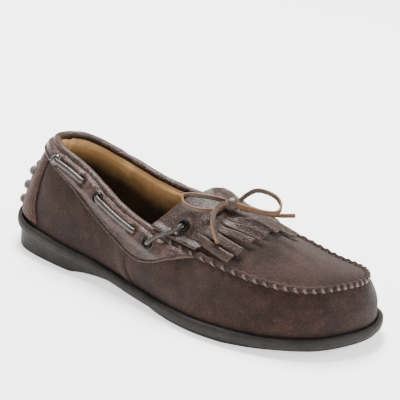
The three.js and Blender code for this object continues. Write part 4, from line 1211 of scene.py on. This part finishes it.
# The sock: the sole line moved inward, flat below, dished by 0.25 arch(across) above.
def sockPiece():
    station = heelToToe(150)
    gap = last["gap"]
    inset = sockSet["inset"]

    def under(x):
        pastPad = x + last["length"] / 2 - sockSet["padLength"] - 1
        pad = (sockSet["pad"] + gap) * (1 - smooth(pastPad / sockSet["padFade"]))
        return seatHeight(x) + 2 * gap + sockSet["board"] + pad

    def over(x):
        return under(x) + sockSet["thick"]

    profile = [(inset - 0.4, over), (inset, lambda x: over(x) - 0.4),
               (inset, lambda x: under(x) + 0.3), (inset - 0.3, under)]
    near = [edgePoint(station, *step) for step in profile]
    far = [edgePoint(around - station, *step) for step in profile]
    share = np.linspace(0, 1, 19)[1:-1]
    bottom = rowsBetween(near[-1], far[-1], share, under)
    top = rowsBetween(far[0], near[0], share, over, sockSet["dish"])
    rings = np.stack(near + bottom + far[::-1] + top)
    faces = gridFaces(*rings.shape[:2], wrapRows=True)
    # the depth mark darkens the sock as painted shade
    return shadeDepthMark(weld(makeObject("sock_liner_leather", rings, faces), 4e-6))


replaceWith(sockPiece(), "shoe", finishes["lining_leather"], "lining_leather", "sock_liner")
print("stage: lining")

# Tongue and kiltie
kiltieSet = {
    "low": 0.3, "high": 1.7, "inset": 0.9, "band": 0.12,
    "step": 30, "wingStep": 36,  # millimetres of dome in one station, at the knot and at the wings
}
tongueSet = {"low": -3.4, "high": -2.2, "inset": 0.8, "turnUp": 2.4}
stripKeys = ("root", "tip", "wide", "lift", "tilt", "curl", "cut")  # from the outer side to the inner
strips = [dict(zip(stripKeys, strip)) for strip in (
    ((4.58, .075), (5.36, .058), 6.4, 3.2, 1.4, 0.8, 1.5),
    ((4.80, .15), (5.48, .137), 7.2, 2.8, 1.0, 0.3, 0.8),
    ((4.87, .22), (5.59, .266), 6.0, 2.8, 1.3, 0.3, 1.0),
    ((4.92, .304), (5.70, .36), 5.4, 3.2, 1.7, -0.4, 1.2),
    ((4.96, .372), (5.72, .468), 5.4, 3.8, 2.3, -0.9, 1.0),
    ((4.98, .47), (5.80, .631), 8.4, 2.2, 0.9, 0.4, 1.2),
    ((4.97, .62), (6.06, .76), 7.4, 2.0, 0.6, 0.4, 1.0),
    ((4.90, .76), (5.95, .85), 7.4, 1.6, -0.4, 0.3, 1.0),
    ((4.78, .87), (5.50, .925), 7.0, 1.8, -0.8, 0.5, 1.2),
)]
wingEyelet = (4.23, 0.105)
knotSpot = (4.875, 0.438)
knotRadius = 4.2
knotCentre = onDome(*knotSpot, 1.5 + last["gap"] + knotRadius)


# Creases that run from the knot to the wings; the wings ride up over the rolled edge.
def kiltieFolds(station, across, sides):
    wide = domeWide(station)
    behind, aside = (4.7 - station) * kiltieSet["step"], (across - 0.44) * wide
    toKnot = np.hypot(behind, aside)
    fan = np.arctan2(aside, behind + 6)
    crease = 0.4 * np.sin(fan * 5 + 0.6) * np.exp(-((toKnot - 14) / 8) ** 2)
    edge = np.minimum(sides[2], sides[3])
    over = 2.7 * (1 - smooth((edge - 1) / 6)) - 0.5 * np.exp(-edge / 0.9) + 0.5 * np.exp(-sides[0] / 1.5)
    fromEdge = np.minimum(across, 1 - across)
    forward = (station - wingEyelet[0]) * kiltieSet["wingStep"]
    dimple = np.hypot(forward, (fromEdge - wingEyelet[1]) * wide * 1.25)
    return crease + over - 0.6 * np.exp(-((dimple - 6) / 2) ** 2) + 0.25 * np.sin(station * 14 + across * 9)


# The station of the saddle's front edge: the throat plus a band, drawn back at the outer corner.
def kiltieFront(share):
    return throatLine(share) + kiltieSet["band"] - 0.06 * np.exp(-(share / 0.06) ** 2)


# The saddle over the instep, from the mouth to the roots of the strips.
def kiltieSaddle():
    grid = domeGrid(mouthLine, kiltieFront, 130, 70, kiltieSet["inset"])
    return panelBody("kiltie_saddle_part", onDome, *grid, kiltieSet["low"], kiltieSet["high"], kiltieFolds)


# One strip of the fringe: a ribbon along its own middle line, tilted and curled as it hangs.
def kiltieStrip(index):
    strip = strips[index]
    u, t = np.meshgrid(edged(-1, 1, 14, strip["wide"]), edged(0, 1, 44, 34))
    station = lerp(strip["root"][0] - 0.12, strip["tip"][0], t)
    across = lerp(strip["root"][1], strip["tip"][1], np.maximum(t * 1.18 - 0.18, 0))
    across = across + 0.006 * np.sin(t * 5 + index)
    free = smooth((t - 0.12) * 1.7)
    middle = onDome(station, across, 0)
    up = domeNormal(station, across)
    run = unit(np.gradient(middle, axis=0))
    side = unit(np.cross(up, run))
    wide = strip["wide"] * (1 - 0.06 * t)
    lift = strip["lift"] * free + strip["tilt"] * u * free + strip["curl"] * (1 - u ** 2) * free
    lift = lift + 0.22 * np.sin(t * 8 + index * 2) * free + 0.45 * (1 - free)
    slant = strip["cut"] * u * t ** 8

    def ribbon(a, b, out):
        level = (kiltieSet["low"] + lift + out)[..., None]
        return middle + side * (u * wide / 2)[..., None] + up * level + run * slant[..., None]

    return panelBody(f"kiltie_strip_{index}", ribbon, station, across, 0, 1.5)


# One object made of several; the first one's marks and mesh keep the rest.
def joined(name, pieces):
    whole = pieces[0]
    with bpy.context.temp_override(active_object=whole, selected_editable_objects=pieces, object=whole):
        bpy.ops.object.join()
    whole.name = whole.data.name = name
    return whole


kiltie = joined("kiltie_fringed", [kiltieSaddle()] + [kiltieStrip(k) for k in range(len(strips))])
replaceWith(kiltie, None, finishes["kiltie_leather"], "grain_leather", "kiltie_saddle", "kiltie_fringe")


# The tongue's side edges turn up to meet the kiltie beside the rolled edge.
def tongueRise(station, across, sides):
    edge = np.minimum(sides[2], sides[3])
    return tongueSet["turnUp"] * (1 - smooth(edge / 9)) + 0.25 * np.sin(station * 12 + across * 8)


# The tongue under the saddle.
def tonguePiece():
    grid = domeGrid(lambda s: mouthLine(s) - 0.03, lambda s: throatLine(s) - 0.02, 90, 50, tongueSet["inset"])
    return panelBody("tongue_leather", onDome, *grid, tongueSet["low"], tongueSet["high"], tongueRise)


replaceWith(tonguePiece(), "tongue_flap", finishes["kiltie_leather"], "grain_leather", "tongue")
print("stage: kiltie")

# Eyelets
eyeletSet = {"bore": 2.3, "flange": 4.4, "high": 1.9}


# Rolled metal ring over a near-black disc in its bore, painted shade in the hole.
def eyelet(name, place, axis, finish, body):
    bore, flange, high = eyeletSet["bore"], eyeletSet["flange"], eyeletSet["high"]
    middle, tube = (bore + flange) / 2, (flange - bore) / 2
    angle = np.linspace(0, np.pi, 13)
    roll = np.stack([middle + tube * np.cos(angle), high * np.sin(angle) * 0.95 + 0.1], -1)
    profile = np.vstack([[(flange, -0.5)], roll, [(bore, -0.5), (flange, -0.5)]])
    ring = lathe("eyelet_ring_" + name, profile, place, axis, 48)
    # the disc is painted shade that fills the hole
    disc = [(0, -0.4), (bore + 0.2, -0.4), (bore + 0.2, 0.12), (0, 0.12)]
    floor = lathe(f"eyelet_ring_{name}_bore", disc, place, axis, 32)
    replaceWith(ring, body, finish, "eyelet_metal", "eyelet_" + name)
    replaceWith(floor, body, finishes["bore_dark"], "eyelet_metal")


# The same share across, counted from the outer or the inner side.
def onSide(side, across):
    return across if side > 0 else 1 - across


for side, place in sideNames:
    for where, fromBack in eyeletStations.items():
        station, rise = np.float64(side * fromBack), laceRise(fromBack)
        face = onWall(station, rise, collarLift(station, rise) + collarSet["thick"])
        metal = finishes["nickel" if where == "rear" else "eyelet_metal"]
        eyelet(f"{where}_{place}", face, wallNormal(station, rise), metal, "shoe")
    station, across = np.float64(wingEyelet[0]), np.float64(onSide(side, wingEyelet[1]))
    face = onDome(station, across, kiltieSet["high"])
    eyelet(f"kiltie_{place}", face, domeNormal(station, across), finishes["eyelet_metal"], "tongue_flap")
print("stage: eyelets")

# Laces: the collar's lace, held by the shoe, and the two cross laces
hidden = 2.5 * last["gap"] + laceSet["thick"] / 2  # out from the wall to the lace, behind the collar
shown = last["gap"] + collarSet["channel"] + collarSet["thick"] + hidden  # and in front of it
overEyelet = shown + 1.3
collarStops = [
    (0, hidden), (.4, hidden), (.8, hidden), (1.14, hidden), (1.22, hidden + .8), (1.23, shown + .4),
    (1.31, overEyelet), (1.42, shown + .5), (1.7, shown), (1.96, shown), (2.03, shown - 1.7), (2.1, hidden),
    (2.4, hidden), (2.47, hidden + .8), (2.48, shown + .4), (2.56, overEyelet), (2.68, shown + .5),
    (3, shown), (3.35, shown), (3.42, shown - 1.7), (3.49, hidden), (3.7, hidden), (3.77, hidden + .8),
    (3.78, shown - .9),
]
strapProfile, strapEdge = rectangleProfile(laceSet["width"] + 0.5, laceSet["thick"] + 1.2, 1.1)
crossSet = {"width": 3.9, "thick": 3.2, "corner": 1.3}


# The lace through collarStops on both sides, turned so that its width lies up the wall.
def collarLace():
    half = [(s, float(laceRise(s)), out) for s, out in collarStops]
    stops = [(-s, r, out) for s, r, out in half[:0:-1]] + half
    curve = throughPoints(stops, 620)
    path = onWall(curve[:, 0], curve[:, 1], curve[:, 2])
    upWall = wallSkin(curve[:, 0], curve[:, 1] + 0.02) - wallSkin(curve[:, 0], curve[:, 1] - 0.02)
    return sweep("collar_lace_strap", path, upWall, strapProfile, strapEdge * 0.3, bySide=True)


# The lace from the front eyelet over the roll to the wing's eyelet.
def crossLace(name, side):
    station, across = wingEyelet[0], onSide(side, wingEyelet[1])
    front = side * eyeletStations["front"]
    rise = float(laceRise(front))
    route = [
        onWall(front, rise, shown - 1.4),
        onWall(front, rise, shown + 0.4),
        onWall(side * 3.84, float(laceRise(3.84)) + 0.035, overEyelet + 0.5),
        onWall(side * 3.93, 0.965, shown + 0.6),
        onDome(station - 0.13, onSide(side, wingEyelet[1] * 0.4), 4.6),
        onDome(station - 0.04, onSide(side, wingEyelet[1] * 0.75), 4.9),
        onDome(station, across, 3.2),
        onDome(station, across, 1.6),
    ]
    path = evenly(throughPoints(route, 120), 90)
    share = np.linspace(0, 1, len(path))[:, None]
    first = wallNormal(*np.broadcast_arrays(np.float64(front), rise))
    second = domeNormal(*np.broadcast_arrays(np.float64(station), across))
    profile, edge = rectangleProfile(crossSet["width"], crossSet["thick"], crossSet["corner"])
    return sweep(name, path, lerp(first, second, share), profile, edge * 0.4)


replaceWith(collarLace(), "shoe", finishes["lace_leather"], "lace_leather", "collar_lace")
for side, place in sideNames:
    lace = crossLace("cross_lace_strap_" + place, side)
    replaceWith(lace, None, finishes["lace_leather"], "lace_leather", "cross_lace_" + place)
    low = onWall(side * 3.85, 0.9, shown)
    high = onDome(wingEyelet[0] - 0.02, onSide(side, wingEyelet[1] * 0.9), 4)
    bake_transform(lace)

throatX = float(metres(onDome(4.78, 0.5, 0)).ravel()[0])
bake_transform(kiltie)
print("stage: laces")

# Bow: knot, loops and tails; routes are counted from the middle of the knot
bowRoutes = {
    "loop_outer": [(-5, -3, 3), (-11, -9, 5.5), (-18, -13, 6), (-25, -15.5, 5.5), (-29.5, -18.5, 4),
                   (-27, -22, 1), (-20, -22.5, -.5), (-12, -19.5, -1), (-6, -12, -1.5), (-4.2, -5.5, -1.5)],
    "loop_inner": [(3.5, 4.2, 3), (7, 8, 7.5), (13, 9.5, 12), (22, 9.5, 13.5), (31, 9, 12), (36.5, 6, 8.5),
                   (37.5, .5, 6), (31, -2, 4.5), (21, -2.5, 3.5), (12, -2.5, 3), (5.4, -2.2, 2.6)],
    "tail_outer": [(-1.5, -5.4, 2.5), (-3, -12, 3.5), (-2.5, -18.5, 1), (0, -24, -5.5), (5.5, -29, -11),
                   (10.5, -32.5, -14.5)],
    "tail_inner": [(5.2, 2.2, -1.5), (12, 4, -1), (22, 7.5, -2), (32, 11.5, -2), (43, 15.5, 0)],
}
bowSet = {"width": 3.3, "thick": 1.9, "diameter": 3.3}
bowFlesh = {  # how much of the raw side shows at the start, at 0.45 and at the end of each cord
    "loop_outer": (0, 0.1, 0.5), "loop_inner": (0, 0.25, 1),
    "tail_outer": (0.1, 0.1, 0.2), "tail_inner": (1, 0.9, 0.8),
}


# A flat lace standing on its edge along one route.
def bowCord(name, finish):
    path = evenly(throughPoints(np.array(bowRoutes[name]) + knotCentre, 240), 150)
    run = unit(np.gradient(path, axis=0))
    flat = unit(np.cross(run, (0, 0, 1)) + (0, 0, 1e-3))
    turn = {"tail_outer": 0.9, "tail_inner": 0.35}.get(name, 0.0)
    face = flat * math.cos(turn) + np.cross(run, flat) * math.sin(turn)
    profile, edge = rectangleProfile(bowSet["width"], bowSet["thick"], 0.45)
    thing = sweep("bow_" + name + "_lace", path, face, profile, edge)
    share = np.linspace(0, 1, len(path))
    flesh = np.interp(share, (0, 0.45, 1), bowFlesh[name])
    marks = np.maximum(np.tile(edge, len(path)), np.repeat(flesh, len(edge)))
    thing.data.attributes["edge"].data.foreach_set("value", marks.astype(np.float32))
    replaceWith(thing, "tongue_flap", finish, "lace_leather", "bow_" + name)


for name in bowRoutes:
    bowCord(name, finishes["bow_leather"])


# A lace wrapped once round the knot: an ellipse with half axes across and up.
def knotBand(name, across, up, width, thick, offset, skew):
    angle = roundAngles(60)
    along = unit(np.cross(across, up))
    path = knotCentre + offset + np.cos(angle)[:, None] * across + np.sin(angle)[:, None] * up
    path = path + along * (skew * np.sin(angle))[:, None]
    radial = unit(path - knotCentre - offset)
    profile, edge = rectangleProfile(width, thick, 0.5)
    run = unit(np.roll(path, -1, 0) - np.roll(path, 1, 0))
    side = unit(np.cross(run, radial))
    points = path[:, None] + side[:, None] * profile[:, 0, None] + radial[:, None] * profile[:, 1, None]
    faces = gridFaces(*points.shape[:2], wrapRows=True, wrapColumns=True)
    return makeObject(name, points, faces, {"edge": np.tile(edge, len(path))})


# The strands inside the wrap: a squashed ball with three ridges.
def knotCore():
    theta, phi = np.meshgrid(roundAngles(48), np.linspace(0, np.pi, 25), indexing="ij")
    swell = 1 + 0.13 * np.cos(3 * theta + 0.6) * np.sin(phi)
    axis = unit(np.array([0.84, 0.5, 0.1]))
    side = unit(np.cross(axis, (0, 0, 1)))
    up = np.cross(side, axis)
    wide, high = np.sin(phi) * np.cos(theta) * swell, np.sin(phi) * np.sin(theta) * swell
    local = np.stack([np.cos(phi) * 5.6, wide * 3.6, high * 3.9], -1)
    points = knotCentre + local @ np.stack([axis, side, up])
    return weld(makeObject("bow_knot_core", points, gridFaces(48, 25, wrapRows=True)))


knotAlong = unit(np.array([0.84, 0.5, 0.05]))
knotAcross = unit(np.cross(knotAlong, (0, 0, 1)))
knotUp = np.cross(knotAcross, knotAlong)
replaceWith(knotCore(), "tongue_flap", finishes["bow_leather"], "lace_leather", "bow_knot")
leaning = knotUp * 0.8 - knotAlong * 0.35
for band in (
    knotBand("bow_knot_wrap", knotAcross * 4.4, knotUp * 4.9, 4.4, 1.7, knotAlong * 0.4, 0.5),
    knotBand("bow_knot_under", knotAcross * 4.0, leaning * 4.2, 3.0, 1.6, knotAlong * -2.6, 0.8),
):
    replaceWith(band, "tongue_flap", finishes["bow_leather"], "lace_leather")
print("stage: bow")

# CAD pieces that keep their own shape
keptNodes = {
    "midsole_filler": "cork", "shank": "shank_steel", "insole_board": "fibre_board", "heel_pad": "foam",
    "vamp_lining": "dark_lining", "apron_lining": "dark_lining", "heel_counter": "stiffener",
    "collar_foam": "foam", "tie_lace_outer": "lace_leather", "tie_lace_inner": "lace_leather",
}
for name, finish in keptNodes.items():
    mesh = nodes[name].data
    mesh.materials.clear()
    mesh.materials.append(finishes[finish])

# Floor and light
lightSet = {
    "key": ((-0.35, 0.35, 1.5), 0.6, 84, (1, 0.985, 0.96)),
    "fill": ((1.1, -1.4, 0.9), 0.7, 14, (1, 0.99, 0.97)),
    "rim": ((1.3, 0.7, 0.8), 0.5, 18, (1, 1, 1)),
}


# color = mix(0.95, 0.93, half of 40 mm noise), glowing by 1.1; bump = 0.02 mm tooth of 1 mm.
def floorPaint():
    paint = Paint("floor_card")
    color = paint.mix((0.95, 0.95, 0.95), (0.93, 0.93, 0.93), paint.noise(40, 2) * 0.5)
    return paint.finish(color, 0.9, paint.bump(paint.noise(1.0, 2), 0.02), Emission_Color=(1, 1, 1, 1),
                        Emission_Strength=1.1)


# The floor, the three lamps and the pale world.
def makeStage():
    size = 4.0
    mesh = bpy.data.meshes.new("floor")
    corners = [(-size, -size, 0), (size, -size, 0), (size, size, 0), (-size, size, 0)]
    mesh.from_pydata(corners, [], [(0, 1, 2, 3)])
    mesh.materials.append(floorPaint())
    floor = bpy.data.objects.new("floor", mesh)
    bpy.context.scene.collection.objects.link(floor)
    for name, (spot, size, power, color) in lightSet.items():
        data = bpy.data.lights.new(name, "AREA")
        data.size, data.energy, data.color = size, power, color
        lamp = bpy.data.objects.new(name, data)
        lamp.location = spot
        lamp.rotation_euler = (Vector((0, 0, 0.04)) - Vector(spot)).to_track_quat("-Z", "Y").to_euler()
        bpy.context.scene.collection.objects.link(lamp)
    world = bpy.data.worlds.new("studio")
    world.use_nodes = True
    world.node_tree.nodes["Background"].inputs[0].default_value = (1, 1, 1, 1)
    world.node_tree.nodes["Background"].inputs[1].default_value = 0.55
    bpy.context.scene.world = world


makeStage()
print("stage: done")
